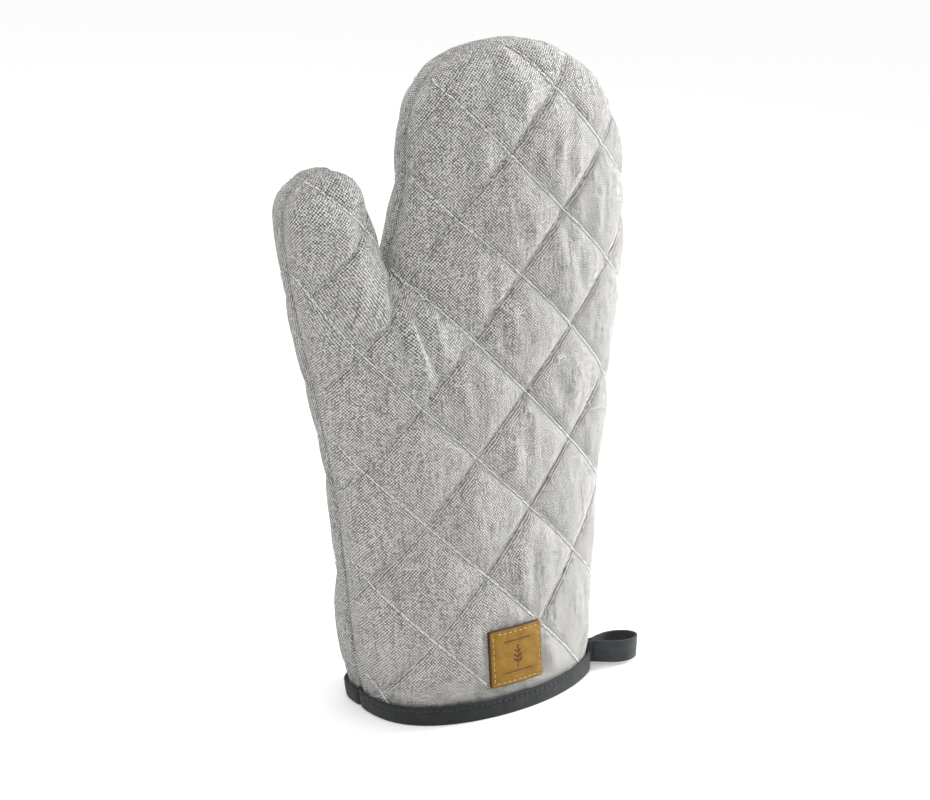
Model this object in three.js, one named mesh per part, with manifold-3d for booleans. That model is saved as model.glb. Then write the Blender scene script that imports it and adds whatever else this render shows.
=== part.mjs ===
// A quilted oven mitt standing on its open cuff: millimetres, +Z up, the front panel faces -Y
// and the thumb points to -X. Each panel is three layers (cloth, wadding, lining) that share
// one surface; the layers are that surface moved inwards by different amounts.
import * as THREE from "three";
import Module from "manifold-3d";

// Outline of the mitt, seen from the front
const HEIGHT = 330; // floor to fingertips
const CUFF_WIDTH = 122; // side seam to side seam at the cuff
const HAND_WIDTH = 126; // index edge to palm edge
const INDEX_X = -36; // where the index edge stands
const THUMB_REACH = 102.4; // middle of the mitt to the outside of the thumb
const THUMB_WIDTH = 43.2;
const THUMB_SHARE = 0.834; // thumb tip, as a share of the height
const CROTCH_SHARE = 0.664; // bottom of the notch beside the thumb
// Depth, front to back
const CUFF_DEPTH = 79;
const HAND_DEPTH = 57;
const CUFF_FORWARD = 7.5; // how far the standing cuff bellies towards the front
const CUFF_TWIST = 0.24; // the right seam stands this far forward per mm of width, the left half as far back
// Layers
const CLOTH = 0.8;
const WADDING = 4;
const LINING = 0.6;
const GAP = 0.3; // clearance between any two pieces
const SQUEEZE = 0.45; // share of the thickness left at the seam and under the binding
const SEAM_ROLL = 3.2; // radius at which each panel turns in to the side seam
// Quilting
const DIAMOND = 41.5; // between two neighbouring lines of one direction
const QUILT_U = 44; // a crossing stands here, along the cloth from the middle line
const QUILT_TOP = 307.5 / 330; // height of that crossing, as a share of the height
const QUILT_LEAN = 7; // the cloth is cut a little off the grain, so the top leans to the thumb
const PUFF = 2.4; // how far the middle of a diamond stands out
const THREAD = 0.5;
// Trim
const BINDING_HEIGHT = 10;
const BINDING_TAPE = 1;
const PATCH_WIDTH = 30.5;
const PATCH_HEIGHT = 29;
const PATCH_TAPE = 1.6;
const PATCH_X = -1.2; // middle of the patch
const PATCH_Z = 29.8;
const LOOP_REACH = 26; // how far the hanging loop stands out of the binding
const LOOP_WIDTH = 12; // height of its tape
const LOOP_TAPE = 1.2;
const LOOP_OPEN = 12.5; // widest gap between its two sides
const OVERLOCK = 8; // width of the oversewn seam allowance inside
const STEP = 12; // length of a mesh edge along the seam

const V = (x, y, z) => new THREE.Vector3(x, y, z);
const smooth = (t) => THREE.MathUtils.smoothstep(t, 0, 1);
const PANEL_BOTTOM = BINDING_TAPE + GAP;
const STACK = CLOTH + WADDING + LINING + 2 * GAP;

// ---------------------------------------------------------------- the outline
const cuffRight = CUFF_WIDTH * 0.481;
const cuffLeft = cuffRight - CUFF_WIDTH;
const palmX = INDEX_X + HAND_WIDTH;
const topX = INDEX_X + HAND_WIDTH * 0.46;
const thumbInX = THUMB_WIDTH - THUMB_REACH;
const tipX = -THUMB_REACH + THUMB_WIDTH * 0.49;
const crotchX = thumbInX * 0.58 + INDEX_X * 0.42;
const wristX = cuffLeft * 0.75 - THUMB_REACH * 0.262;
const tall = (share) => share * HEIGHT;
const thumbTop = tall(THUMB_SHARE);
const thumbSide = thumbTop - THUMB_WIDTH * 0.54;
const crotchZ = tall(CROTCH_SHARE);
const wristZ = tall(0.27);

// Cubic curves from the right of the cuff, round the fingers and the thumb, to its left.
const CURVES = [
  [cuffRight, 0, cuffRight + 2.5, tall(0.27), palmX - 1.5, tall(0.45), palmX, tall(0.73)],
  [palmX, tall(0.73), palmX + 1.5, tall(0.91), topX + HAND_WIDTH * 0.31, HEIGHT, topX, HEIGHT],
  [topX, HEIGHT, topX - HAND_WIDTH * 0.29, HEIGHT, INDEX_X - 1, tall(0.95), INDEX_X, tall(0.836)],
  [INDEX_X, tall(0.836), INDEX_X, tall(0.776), crotchX + 6, crotchZ + 22, crotchX + 1.5, crotchZ + 5],
  [crotchX + 1.5, crotchZ + 5, crotchX + 0.6, crotchZ, crotchX - 1.2, crotchZ, crotchX - 2, crotchZ + 5],
  [crotchX - 2, crotchZ + 5, crotchX - 4, crotchZ + 16, thumbInX + 3.4, thumbSide - 8, thumbInX, thumbSide],
  [thumbInX, thumbSide, thumbInX - 5, thumbSide + 16, tipX + 11, thumbTop, tipX, thumbTop],
  [tipX, thumbTop, tipX - 13.4, thumbTop, -THUMB_REACH, thumbSide + 13, -THUMB_REACH, thumbSide],
  [-THUMB_REACH, thumbSide, -THUMB_REACH, thumbSide - 36, wristX - 1.5, wristZ + 45, wristX, wristZ],
  [wristX, wristZ, wristX + 4, wristZ - 31, cuffLeft - 7, 35, cuffLeft, 0],
];

function outline(step) {
  const points = [];
  for (const c of CURVES) {
    const curve = new THREE.CubicBezierCurve(
      ...[0, 2, 4, 6].map((k) => new THREE.Vector2(c[k], c[k + 1])));
    const pieces = Math.max(2, Math.round(curve.getLength() / step));
    for (let i = points.length ? 1 : 0; i <= pieces; i++) points.push(curve.getPointAt(i / pieces));
  }
  return points;
}

const FINE = outline(4);
// The sides go on below the cuff as a mirror image, so nothing bends at the cuff's edge.
const EDGES = [];
for (let i = 1; i < FINE.length; i++) {
  for (const s of [1, -1]) {
    EDGES.push([FINE[i - 1].x, s * FINE[i - 1].y, FINE[i].x, s * FINE[i].y]);
  }
}

// A rounded distance to the outline: the integral of 1/r^3 along it, in closed form per edge.
function inset(x, z) {
  let sum = 0;
  for (const [ax, az, bx, bz] of EDGES) {
    const long = Math.hypot(bx - ax, bz - az);
    const ux = (bx - ax) / long;
    const uz = (bz - az) / long;
    const t0 = (ax - x) * ux + (az - z) * uz;
    const h2 = Math.max(1e-4, (ax - x) ** 2 + (az - z) ** 2 - t0 * t0);
    const at = (t) => t / (h2 * Math.sqrt(h2 + t * t));
    sum += at(t0 + long) - at(t0);
  }
  return Math.sqrt(2 / sum);
}

// ---------------------------------------------------------------- the surface of a panel
const DEEP = 60; // inset at which the depth levels off
const rise = (s) => 1 - Math.exp(-s / DEEP);
const MIDDLE = rise(inset((cuffLeft + cuffRight) / 2, 0));

// How far a panel stands from the seam, 0 at the seam and about 1 in the middle of the cuff.
// The back (side 1) leaves the cuff's seams at a steeper angle than the front (side -1).
function swell(side, x, z) {
  const up = smooth(z / tall(0.45));
  const round = side < 0 ? 0.42 + 0.08 * up : 0.28 + 0.22 * up;
  return (rise(inset(x, z)) / MIDDLE) ** round;
}
function depth(side, x, z) {
  const half = THREE.MathUtils.lerp(CUFF_DEPTH, HAND_DEPTH, smooth(z / tall(0.45))) / 2;
  return (half - SEAM_ROLL) * swell(side, x, z);
}
function middle(x, z) {
  const fade = 1 - smooth(z / tall(0.58));
  const twist = x > 0 ? CUFF_TWIST : CUFF_TWIST / 2;
  return -fade * (CUFF_FORWARD + twist * x * (1 - Math.min(1, swell(-1, x, z))) ** 2);
}
// A point of a panel's outer surface; side is -1 for the front and 1 for the back.
const onPanel = (side, x, z, puff = 0) =>
  V(x, middle(x, z) + side * (SEAM_ROLL + depth(side, x, z) + puff), z);

// ---------------------------------------------------------------- the mesh, laid out flat
const inside = (x, z, ring) => {
  let odd = false;
  for (let i = 0, j = ring.length - 1; i < ring.length; j = i++) {
    const [a, b] = [ring[i], ring[j]];
    if (a.y > z !== b.y > z && x < ((b.x - a.x) * (z - a.y)) / (b.y - a.y) + a.x) odd = !odd;
  }
  return odd;
};

const RIM = outline(STEP);
RIM[0].y = RIM[RIM.length - 1].y = PANEL_BOTTOM;
// The direction from each point of the rim into the mitt
const INWARD = RIM.map((p, i) => {
  if (i === 0) return new THREE.Vector2(-1, 0);
  if (i === RIM.length - 1) return new THREE.Vector2(1, 0);
  const t = RIM[i + 1].clone().sub(RIM[i - 1]).normalize();
  return new THREE.Vector2(-t.y, t.x);
});

const nearest = (p, list) => Math.min(...list.map((q) => p.distanceTo(q)));
const gapToRim = (p) => Math.min(...FINE.map((q) => p.distanceTo(q)));

// Where the quilting lattice meets the cloth: rows at fixed heights, spaced along the cloth.
function lattice() {
  const pitch = DIAMOND / Math.SQRT2 / 3;
  const nodes = [];
  for (let row = -4; tall(QUILT_TOP) - row * pitch > PANEL_BOTTOM + 5; row++) {
    const z = tall(QUILT_TOP) - row * pitch;
    const start = QUILT_U - QUILT_LEAN * smooth((z / HEIGHT - 0.58) / 0.25);
    const walk = [{ x: 0, u: 0 }];
    for (const way of [1, -1]) {
      let [x, u, y] = [0, 0, onPanel(-1, 0, z).y];
      while (Math.abs(x) < 130) {
        const on = inside(x + way, z, FINE) ? onPanel(-1, x + way, z).y : y;
        u += way * Math.hypot(1, on - y);
        x += way;
        y = on;
        if (way > 0) walk.push({ x, u });
        else walk.unshift({ x, u });
      }
    }
    for (let k = 1; k < walk.length; k++) {
      const [a, b] = [walk[k - 1], walk[k]];
      const column = Math.ceil((a.u - start) / pitch);
      const u = column * pitch + start;
      if (u >= b.u || (column + row) % 2) continue;
      const x = a.x + ((u - a.u) / (b.u - a.u)) * (b.x - a.x);
      const p = new THREE.Vector2(x, z);
      if (!inside(x, z, FINE) || gapToRim(p) < 13) continue;
      nodes.push(Object.assign(p, { up: (column + row) / 2, down: (column - row) / 2 }));
    }
  }
  return nodes;
}
const onLine = (n) => n.up % 3 === 0 || n.down % 3 === 0;
const LATTICE = lattice();

function flatPoints() {
  const points = [...RIM];
  const cuff = [];
  for (const s of [2.5, 8]) {
    RIM.forEach((p, i) => {
      const q = p.clone().addScaledVector(INWARD[i], s);
      if (gapToRim(q) < 0.9 * s || nearest(q, points) < 2.2) return;
      points.push(q);
      if (i === 0 || i === RIM.length - 1) cuff.push(q);
    });
  }
  const count = Math.round((CUFF_WIDTH - 16) / STEP);
  for (let i = 1; i < count; i++) {
    const q = new THREE.Vector2(cuffLeft + 8 + ((CUFF_WIDTH - 16) * i) / count, PANEL_BOTTOM);
    points.push(q);
    cuff.push(q);
  }
  cuff.sort((a, b) => a.x - b.x);
  points.push(...LATTICE.filter((n) => nearest(n, points) > 4));
  return { points, cuff: cuff.map((q) => points.indexOf(q)) };
}

// Delaunay triangles of a few hundred points, each added in turn.
function delaunay(points) {
  const all = [...points, ...[[-4e3, -3e3], [4e3, -3e3], [0, 5e3]].map((c) => new THREE.Vector2(...c))];
  const n = points.length;
  const circle = (a, b, c) => {
    const [p, q, r] = [all[a], all[b], all[c]];
    const w = 2 * (p.x * (q.y - r.y) + q.x * (r.y - p.y) + r.x * (p.y - q.y));
    const [pp, qq, rr] = [p, q, r].map((v) => v.lengthSq());
    const x = (pp * (q.y - r.y) + qq * (r.y - p.y) + rr * (p.y - q.y)) / w;
    const y = (pp * (r.x - q.x) + qq * (p.x - r.x) + rr * (q.x - p.x)) / w;
    return { abc: w > 0 ? [a, b, c] : [a, c, b], x, y, r2: (p.x - x) ** 2 + (p.y - y) ** 2 };
  };
  let triangles = [circle(n, n + 1, n + 2)];
  points.forEach((p, i) => {
    const hole = new Map();
    triangles = triangles.filter((t) => {
      if ((p.x - t.x) ** 2 + (p.y - t.y) ** 2 > t.r2 - 1e-7) return true;
      t.abc.forEach((a, k) => {
        const b = t.abc[(k + 1) % 3];
        if (!hole.delete(b + "," + a)) hole.set(a + "," + b, [a, b]);
      });
      return false;
    });
    for (const [a, b] of hole.values()) triangles.push(circle(a, b, i));
  });
  return triangles.map((t) => t.abc).filter((abc) => abc.every((k) => k < n));
}

const FLAT = flatPoints();
const RING = [...RIM, ...FLAT.cuff.map((k) => FLAT.points[k])];
const FACES = delaunay(FLAT.points.map((p, i) =>
  // a hair of shift keeps the square lattice from having four points on one circle
  new THREE.Vector2(p.x + 1e-4 * Math.sin(i * 7), p.y + 1e-4 * Math.cos(i * 11)),
)).filter((abc) => {
  const [a, b, c] = abc.map((k) => FLAT.points[k]);
  const area = (b.x - a.x) * (c.y - a.y) - (c.x - a.x) * (b.y - a.y);
  return area > 0.02 && inside((a.x + b.x + c.x) / 3, (a.y + b.y + c.y) / 3, RING);
});

// ---------------------------------------------------------------- one panel
const PATCH = { x0: PATCH_X - PATCH_WIDTH / 2, x1: PATCH_X + PATCH_WIDTH / 2 };
function puffOf(side, p) {
  if (p.up === undefined || onLine(p)) return 0;
  const low = smooth((p.y - BINDING_HEIGHT - 4) / 30);
  const out = Math.max(PATCH.x0 - p.x, p.x - PATCH.x1, p.y - PATCH_Z - PATCH_HEIGHT / 2);
  return PUFF * low * (side < 0 ? smooth((out - 8) / 12) : 1);
}
const squeeze = (p) => {
  const seam = smooth(gapToRim(p) / 14);
  const cuff = smooth((p.y - BINDING_HEIGHT) / 25);
  return SQUEEZE + (1 - SQUEEZE) * Math.min(seam, cuff);
};

// Vertices, outward normals, thickness shares and faces of a panel, with its rolled-in edge.
function panel(side) {
  const at = FLAT.points.map((p) => onPanel(side, p.x, p.y, puffOf(side, p)));
  const thin = FLAT.points.map(squeeze);
  const faces = FACES.map(([a, b, c]) => (side < 0 ? [a, b, c] : [a, c, b]));
  const normal = at.map(() => V(0, 0, 0));
  for (const [a, b, c] of faces) {
    const n = at[b].clone().sub(at[a]).cross(at[c].clone().sub(at[a]));
    [a, b, c].forEach((k) => normal[k].add(n));
  }
  FLAT.cuff.forEach((k) => normal[k].setZ(0));
  normal.forEach((n) => n.normalize());
  let last = RIM.map((_, i) => i);
  RIM.forEach((p, i) => normal[i].set(-INWARD[i].x, 0, -INWARD[i].y));
  for (const turn of [45, 90].map(THREE.MathUtils.degToRad)) {
    const next = RIM.map((p, i) => {
      const n = V(-INWARD[i].x, 0, -INWARD[i].y).multiplyScalar(Math.cos(turn));
      n.y = -side * Math.sin(turn);
      const hub = onPanel(side, p.x, p.y).add(V(INWARD[i].x, 0, INWARD[i].y).multiplyScalar(SEAM_ROLL));
      hub.y = middle(p.x, p.y) + side * SEAM_ROLL;
      at.push(hub.addScaledVector(n, SEAM_ROLL).add(V(0, side * (GAP / 2) * Math.sin(turn), 0)));
      normal.push(n);
      thin.push(SQUEEZE);
      return at.length - 1;
    });
    for (let i = 1; i < RIM.length; i++) {
      const [a, b, c, d] = [last[i - 1], last[i], next[i], next[i - 1]];
      faces.push(...(side < 0 ? [[a, d, c], [a, c, b]] : [[a, c, d], [a, b, c]]));
    }
    last = next;
  }
  return { side, at, normal, thin, faces };
}

function mesh(name, triangles, look) {
  const flat = new Float32Array(triangles.flat().flatMap((p) => [p.x, p.y, p.z]));
  const geometry = new THREE.BufferGeometry();
  geometry.setAttribute("position", new THREE.BufferAttribute(flat, 3));
  geometry.computeVertexNormals();
  const made = new THREE.Mesh(geometry, new THREE.MeshStandardMaterial(look));
  made.name = name;
  return made;
}

// A closed body between two sheets with the same faces: `top` outside and `under` inside.
function shell(name, top, under, faces, look) {
  const triangles = [];
  const open = new Map();
  for (const [a, b, c] of faces) {
    triangles.push([top[a], top[b], top[c]], [under[a], under[c], under[b]]);
    [[a, b], [b, c], [c, a]].forEach(([s, t]) => {
      if (!open.delete(t + "," + s)) open.set(s + "," + t, [s, t]);
    });
  }
  for (const [s, t] of open.values()) {
    triangles.push([top[s], under[s], under[t]], [top[s], under[t], top[t]]);
  }
  return mesh(name, triangles, look);
}

// The part of a panel between two depths under its outer surface.
function layer(name, p, from, to, look) {
  const [top, under] = [from, to].map((d) =>
    p.at.map((v, i) => v.clone().addScaledVector(p.normal[i], -d * p.thin[i])));
  return shell(name, top, under, p.faces, look);
}

// A closed body swept through sections with the same number of points each.
function sweep(name, sections, closed, look) {
  const triangles = [];
  const n = sections[0].length;
  const last = closed ? sections.length : sections.length - 1;
  for (let i = 0; i < last; i++) {
    const [a, b] = [sections[i], sections[(i + 1) % sections.length]];
    for (let k = 0; k < n; k++) {
      const m = (k + 1) % n;
      triangles.push([a[k], a[m], b[m]], [a[k], b[m], b[k]]);
    }
  }
  if (!closed) {
    const [a, b] = [sections[0], sections[sections.length - 1]];
    for (let k = 2; k < n; k++) triangles.push([a[0], a[k], a[k - 1]], [b[0], b[k - 1], b[k]]);
  }
  return mesh(name, triangles, look);
}

// ---------------------------------------------------------------- quilting thread
const { Manifold, Mesh } = await Module().then((m) => (m.setup(), m));

function solid(m) {
  const g = m.geometry.getAttribute("position").array;
  const made = new Mesh({
    numProp: 3,
    vertProperties: new Float32Array(g),
    triVerts: Uint32Array.from({ length: g.length / 3 }, (_, i) => i),
  });
  made.merge();
  return new Manifold(made);
}

// The sewn lines of one panel as a net: a flat ribbon along every run of lattice nodes.
function net(name, p, look) {
  const index = new Map(FLAT.points.map((q, i) => [q.up + "," + q.down, i]));
  const runs = [];
  for (const [key, step] of [["up", [0, 1]], ["down", [1, 0]]]) {
    for (const q of LATTICE.filter((n) => n[key] % 3 === 0)) {
      if (index.has(q.up - step[0] + "," + (q.down - step[1]))) continue;
      const run = [];
      let [up, down] = [q.up, q.down];
      while (index.has(up + "," + down)) {
        run.push(index.get(up + "," + down));
        up += step[0];
        down += step[1];
      }
      if (run.length > 3) runs.push(run);
    }
  }
  const ribbons = runs.map((run) => solid(sweep("ribbon", run.map((k, i) => {
    const t = p.at[run[Math.min(i + 1, run.length - 1)]].clone().sub(p.at[run[Math.max(i - 1, 0)]]);
    const across = t.normalize().cross(p.normal[k]).multiplyScalar(THREAD);
    const low = p.at[k].clone().addScaledVector(p.normal[k], GAP);
    const high = low.clone().addScaledVector(p.normal[k], THREAD);
    return [low.clone().sub(across), high.clone().sub(across), high.add(across), low.add(across)];
  }), false, look)));
  const whole = Manifold.union(ribbons).simplify(0.02).decompose()
    .sort((a, b) => b.volume() - a.volume())[0].getMesh();
  const corner = (k) => V(...whole.vertProperties.slice(3 * k, 3 * k + 3));
  const triangles = [];
  for (let i = 0; i < whole.triVerts.length; i += 3) {
    triangles.push([0, 1, 2].map((k) => corner(whole.triVerts[i + k])));
  }
  return mesh(name, triangles, look);
}

// ---------------------------------------------------------------- round the cuff
const edgeX = (z, left) => {
  const walk = left ? [...FINE].reverse() : FINE;
  const k = walk.findIndex((p) => p.y > z);
  const [a, b] = [walk[k - 1], walk[k]];
  return a.x + ((z - a.y) / (b.y - a.y)) * (b.x - a.x);
};
// The cuff's outside at a height, as a ring of points moved outwards by `out`.
function cuffRing(z, out) {
  const [x0, x1] = [edgeX(z, true), edgeX(z, false)];
  const share = [0, ...FLAT.cuff.map((k) => (FLAT.points[k].x - cuffLeft) / CUFF_WIDTH), 1];
  const ring = [
    ...share.map((s) => onPanel(-1, x0 + (x1 - x0) * s, z)),
    ...share.reverse().map((s) => onPanel(1, x0 + (x1 - x0) * s, z)),
  ];
  return ring.map((p, i) => {
    const back = p.clone().sub(ring[(i + ring.length - 1) % ring.length]).normalize();
    const on = ring[(i + 1) % ring.length].clone().sub(p).normalize();
    const [a, b] = [back, on].map((t) => V(t.y, -t.x, 0).normalize());
    const n = a.add(b).normalize();
    const miter = Math.max(0.6, n.dot(b));
    return p.clone().addScaledVector(n, out / miter);
  });
}
const zip = (rings) => rings[0].map((_, i) => rings.map((r) => r[i]));
const moved = (ring, z) => ring.map((p) => V(p.x, p.y, z));

const CUFF_STACK = Math.max(STACK * SQUEEZE + GAP * 8 / 3, SEAM_ROLL + GAP);
function binding(look) {
  const [low, top] = [BINDING_TAPE, BINDING_HEIGHT];
  const loose = 3.5 * GAP; // the cloth's facets stand a little proud of its true surface here
  const out = BINDING_TAPE + loose;
  const deep = -CUFF_STACK;
  return sweep("cuff_binding", zip([
    moved(cuffRing(low, deep - BINDING_TAPE), 0), cuffRing(top, deep - BINDING_TAPE),
    cuffRing(top, deep), cuffRing(low, deep), cuffRing(low, loose),
    cuffRing(top, loose), cuffRing(top, out), moved(cuffRing(low, out), 0),
  ]), true, look);
}
function bindingStitching(look) {
  const [z0, z1] = [BINDING_HEIGHT - 2.3, BINDING_HEIGHT - 2.3 + THREAD];
  const [a, b] = [BINDING_TAPE + 4.5 * GAP, BINDING_TAPE + 5.2 * GAP];
  return sweep("binding_stitching",
    zip([cuffRing(z0, a), cuffRing(z1, a), cuffRing(z1, b), cuffRing(z0, b)]), true, look);
}

// The seam allowance inside, oversewn into one flat cord that follows the side seam.
function overlock(look) {
  const near = SEAM_ROLL + 1.5 * GAP;
  const sections = RIM.map((p, i) => {
    if (p.y < BINDING_HEIGHT + 3) return null;
    const at = (s, y) => V(p.x + INWARD[i].x * s, middle(p.x, p.y) + y, p.y + INWARD[i].y * s);
    return [at(near, 1.5), at(near + OVERLOCK, 1), at(near + OVERLOCK, -1), at(near, -1.5)];
  }).filter(Boolean);
  return sweep("seam_overlock", sections, false, look);
}

// ---------------------------------------------------------------- patch and loop
function onFront(x, z, out) {
  const [p, px, pz] = [onPanel(-1, x, z), onPanel(-1, x + 1, z), onPanel(-1, x, z + 1)];
  const n = px.sub(p).cross(pz.sub(p)).normalize();
  return p.addScaledVector(n, out);
}
const PATCH_BACK = THREAD + 3 * GAP; // it lies over the quilting thread
function patch(look) {
  const n = 5;
  const grid = (out) => Array.from({ length: (n + 1) ** 2 }, (_, k) => onFront(
    PATCH.x0 + (PATCH_WIDTH * (k % (n + 1))) / n,
    PATCH_Z + PATCH_HEIGHT * (Math.floor(k / (n + 1)) / n - 0.5), out));
  const faces = [];
  for (let k = 0; k < (n + 1) * n; k++) {
    if (k % (n + 1) < n) faces.push([k, k + 1, k + n + 2], [k, k + n + 2, k + n + 1]);
  }
  return shell("leather_patch", grid(PATCH_BACK + PATCH_TAPE), grid(PATCH_BACK), faces, look);
}
function patchStitching(look) {
  const corners = [[-1, -1], [1, -1], [1, 1], [-1, 1]];
  const sections = [];
  corners.forEach(([cx, cz], i) => {
    const [nx, nz] = corners[(i + 1) % 4];
    for (let k = 0; k < 4; k++) {
      const [sx, sz] = [cx + ((nx - cx) * k) / 4, cz + ((nz - cz) * k) / 4];
      const at = (margin, out) => onFront(PATCH_X + sx * (PATCH_WIDTH / 2 - margin),
        PATCH_Z + sz * (PATCH_HEIGHT / 2 - margin), PATCH_BACK + PATCH_TAPE + out);
      sections.push([at(2.3, GAP), at(2.3, 2 * GAP), at(1.7, 2 * GAP), at(1.7, GAP)]);
    }
  });
  return sweep("patch_stitching", sections, true, look);
}

// The hanging loop in plan: out of the binding at the right seam, round, and back.
const ROOT = V(cuffRight + BINDING_TAPE + 11 * GAP, middle(cuffRight, 0) - 1.5, BINDING_TAPE + 1);
function loopPath() {
  const [r, w] = [LOOP_REACH, LOOP_OPEN / 2];
  const stations = [[0, -1], [0.07, -1.2], [0.24, -0.55 * w], [0.5, -w], [0.77, -0.95 * w],
    [0.95, -0.5 * w], [1, 0.05 * w], [0.93, 0.5 * w], [0.72, 0.9 * w], [0.46, 0.9 * w],
    [0.24, 0.55 * w], [0.07, 1.2], [0, 1]];
  const lean = THREE.MathUtils.degToRad(-14);
  const curve = new THREE.CatmullRomCurve3(stations.map(([s, y]) =>
    V(s * r, y, 0).applyAxisAngle(V(0, 0, 1), lean).add(ROOT)), false, "centripetal");
  return curve.getSpacedPoints(28);
}
function tape(name, path, out, thick, z0, z1, look) {
  return sweep(name, path.map((p, i) => {
    const t = path[Math.min(i + 1, path.length - 1)].clone().sub(path[Math.max(i - 1, 0)]);
    const side = V(t.y, -t.x, 0).normalize();
    const [a, b] = [out, out + thick].map((d) => p.clone().addScaledVector(side, d));
    return [V(a.x, a.y, z0), V(a.x, a.y, z1), V(b.x, b.y, z1), V(b.x, b.y, z0)];
  }), false, look);
}

// ---------------------------------------------------------------- the mitt
const linen = { color: 0xaeada9, roughness: 0.95, metalness: 0 };
const wadding = { color: 0xe9e6de, roughness: 1, metalness: 0 };
const lining = { color: 0xd9d6cf, roughness: 0.95, metalness: 0 };
const charcoal = { color: 0x323536, roughness: 0.9, metalness: 0 };
const darkThread = { color: 0x2a2d2e, roughness: 0.8, metalness: 0 };
const paleThread = { color: 0xe6e3da, roughness: 0.7, metalness: 0 };
const leather = { color: 0x9a7332, roughness: 0.6, metalness: 0 };
const tan = { color: 0xc79a5a, roughness: 0.7, metalness: 0 };

const mitt = new THREE.Group();
for (const [where, side] of [["front", -1], ["back", 1]]) {
  const p = panel(side);
  const under = CLOTH + GAP + WADDING;
  mitt.add(
    layer("outer_" + where, p, 0, CLOTH, linen),
    layer("wadding_" + where, p, CLOTH + GAP, under, wadding),
    layer("lining_" + where, p, under + GAP, under + GAP + LINING, lining),
    net("quilting_thread_" + where, p, paleThread),
  );
}
const path = loopPath();
const z0 = ROOT.z;
mitt.add(
  binding(charcoal),
  bindingStitching(darkThread),
  overlock(lining),
  patch(leather),
  patchStitching(tan),
  tape("hang_loop", path, 0, LOOP_TAPE, z0, z0 + LOOP_WIDTH, charcoal),
  tape("loop_bartack", path.slice(1, 4), LOOP_TAPE + GAP, 0.5, z0 + 1.5, z0 + LOOP_WIDTH - 1.5, darkThread),
);

// The origin: middle of the mitt's bounding box, on the floor.
const box = new THREE.Box3().setFromObject(mitt);
const middleOf = box.getCenter(V(0, 0, 0));
mitt.children.forEach((m) => m.position.set(-middleOf.x, -middleOf.y, -box.min.z));

export default mitt;
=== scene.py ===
# %% [markdown]
# # A quilted oven mitt, standing on its cuff
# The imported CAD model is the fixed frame: it says where every piece is and what moves. This
# script builds what the eye sees round it: quilted linen that puffs between its sewn lines,
# the bound cuff, the tape loop and the leather patch. Sizes are millimetres until a mesh is
# made, and metres from then on.

# %% Frame
import math

import bpy
import numpy as np
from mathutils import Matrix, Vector, geometry
from mathutils.bvhtree import BVHTree


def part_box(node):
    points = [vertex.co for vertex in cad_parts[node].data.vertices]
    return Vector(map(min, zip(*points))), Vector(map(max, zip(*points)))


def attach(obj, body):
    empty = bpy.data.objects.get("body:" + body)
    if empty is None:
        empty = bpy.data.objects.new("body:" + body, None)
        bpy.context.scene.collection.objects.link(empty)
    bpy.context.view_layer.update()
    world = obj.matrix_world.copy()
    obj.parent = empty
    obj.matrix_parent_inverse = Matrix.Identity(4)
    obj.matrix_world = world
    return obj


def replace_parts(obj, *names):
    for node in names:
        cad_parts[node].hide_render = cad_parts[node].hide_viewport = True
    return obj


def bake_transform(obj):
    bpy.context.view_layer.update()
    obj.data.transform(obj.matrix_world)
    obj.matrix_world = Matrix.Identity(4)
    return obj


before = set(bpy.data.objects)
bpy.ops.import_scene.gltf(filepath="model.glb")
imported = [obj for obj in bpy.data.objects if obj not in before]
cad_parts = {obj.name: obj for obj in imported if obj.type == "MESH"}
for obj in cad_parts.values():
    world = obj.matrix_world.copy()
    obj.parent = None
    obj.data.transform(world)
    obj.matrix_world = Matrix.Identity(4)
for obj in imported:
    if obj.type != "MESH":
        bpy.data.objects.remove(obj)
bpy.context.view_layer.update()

# %% [markdown]
# ## The outline
# A mitt is cut from flat cloth, so its shape starts as an outline: a few cubic curves from
# the right of the cuff, round the fingers and the thumb, and back. The sizes are the CAD's,
# and the offset that puts this outline on the CAD model is measured from the frame.

# %% Outline sizes
HEIGHT = 1000 * (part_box("outer_front")[1].z)
CUFF_WIDTH = 122
HAND_WIDTH = 126
INDEX_X = -36
THUMB_REACH = 102.4
THUMB_WIDTH = 43.2
CUFF_DEPTH = 79
HAND_DEPTH = 57
CUFF_FORWARD = 7.5
CUFF_TWIST = 0.24
SEAM_ROLL = 3.2
PANEL_BOTTOM = 1000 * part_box("outer_front")[0].z
BINDING_HEIGHT = 1000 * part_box("cuff_binding")[1].z

cuff_right = CUFF_WIDTH * 0.481
cuff_left = cuff_right - CUFF_WIDTH
palm_x = INDEX_X + HAND_WIDTH
top_x = INDEX_X + HAND_WIDTH * 0.46
thumb_in = THUMB_WIDTH - THUMB_REACH
tip_x = -THUMB_REACH + THUMB_WIDTH * 0.49
crotch_x = thumb_in * 0.58 + INDEX_X * 0.42
wrist_x = cuff_left * 0.75 - THUMB_REACH * 0.262
thumb_top = HEIGHT * 0.834
thumb_side = thumb_top - THUMB_WIDTH * 0.54
crotch_z = HEIGHT * 0.664
wrist_z = HEIGHT * 0.27
print("mitt", round(HEIGHT, 1), "mm tall, panels start", round(PANEL_BOTTOM, 2), "mm up")

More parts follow.
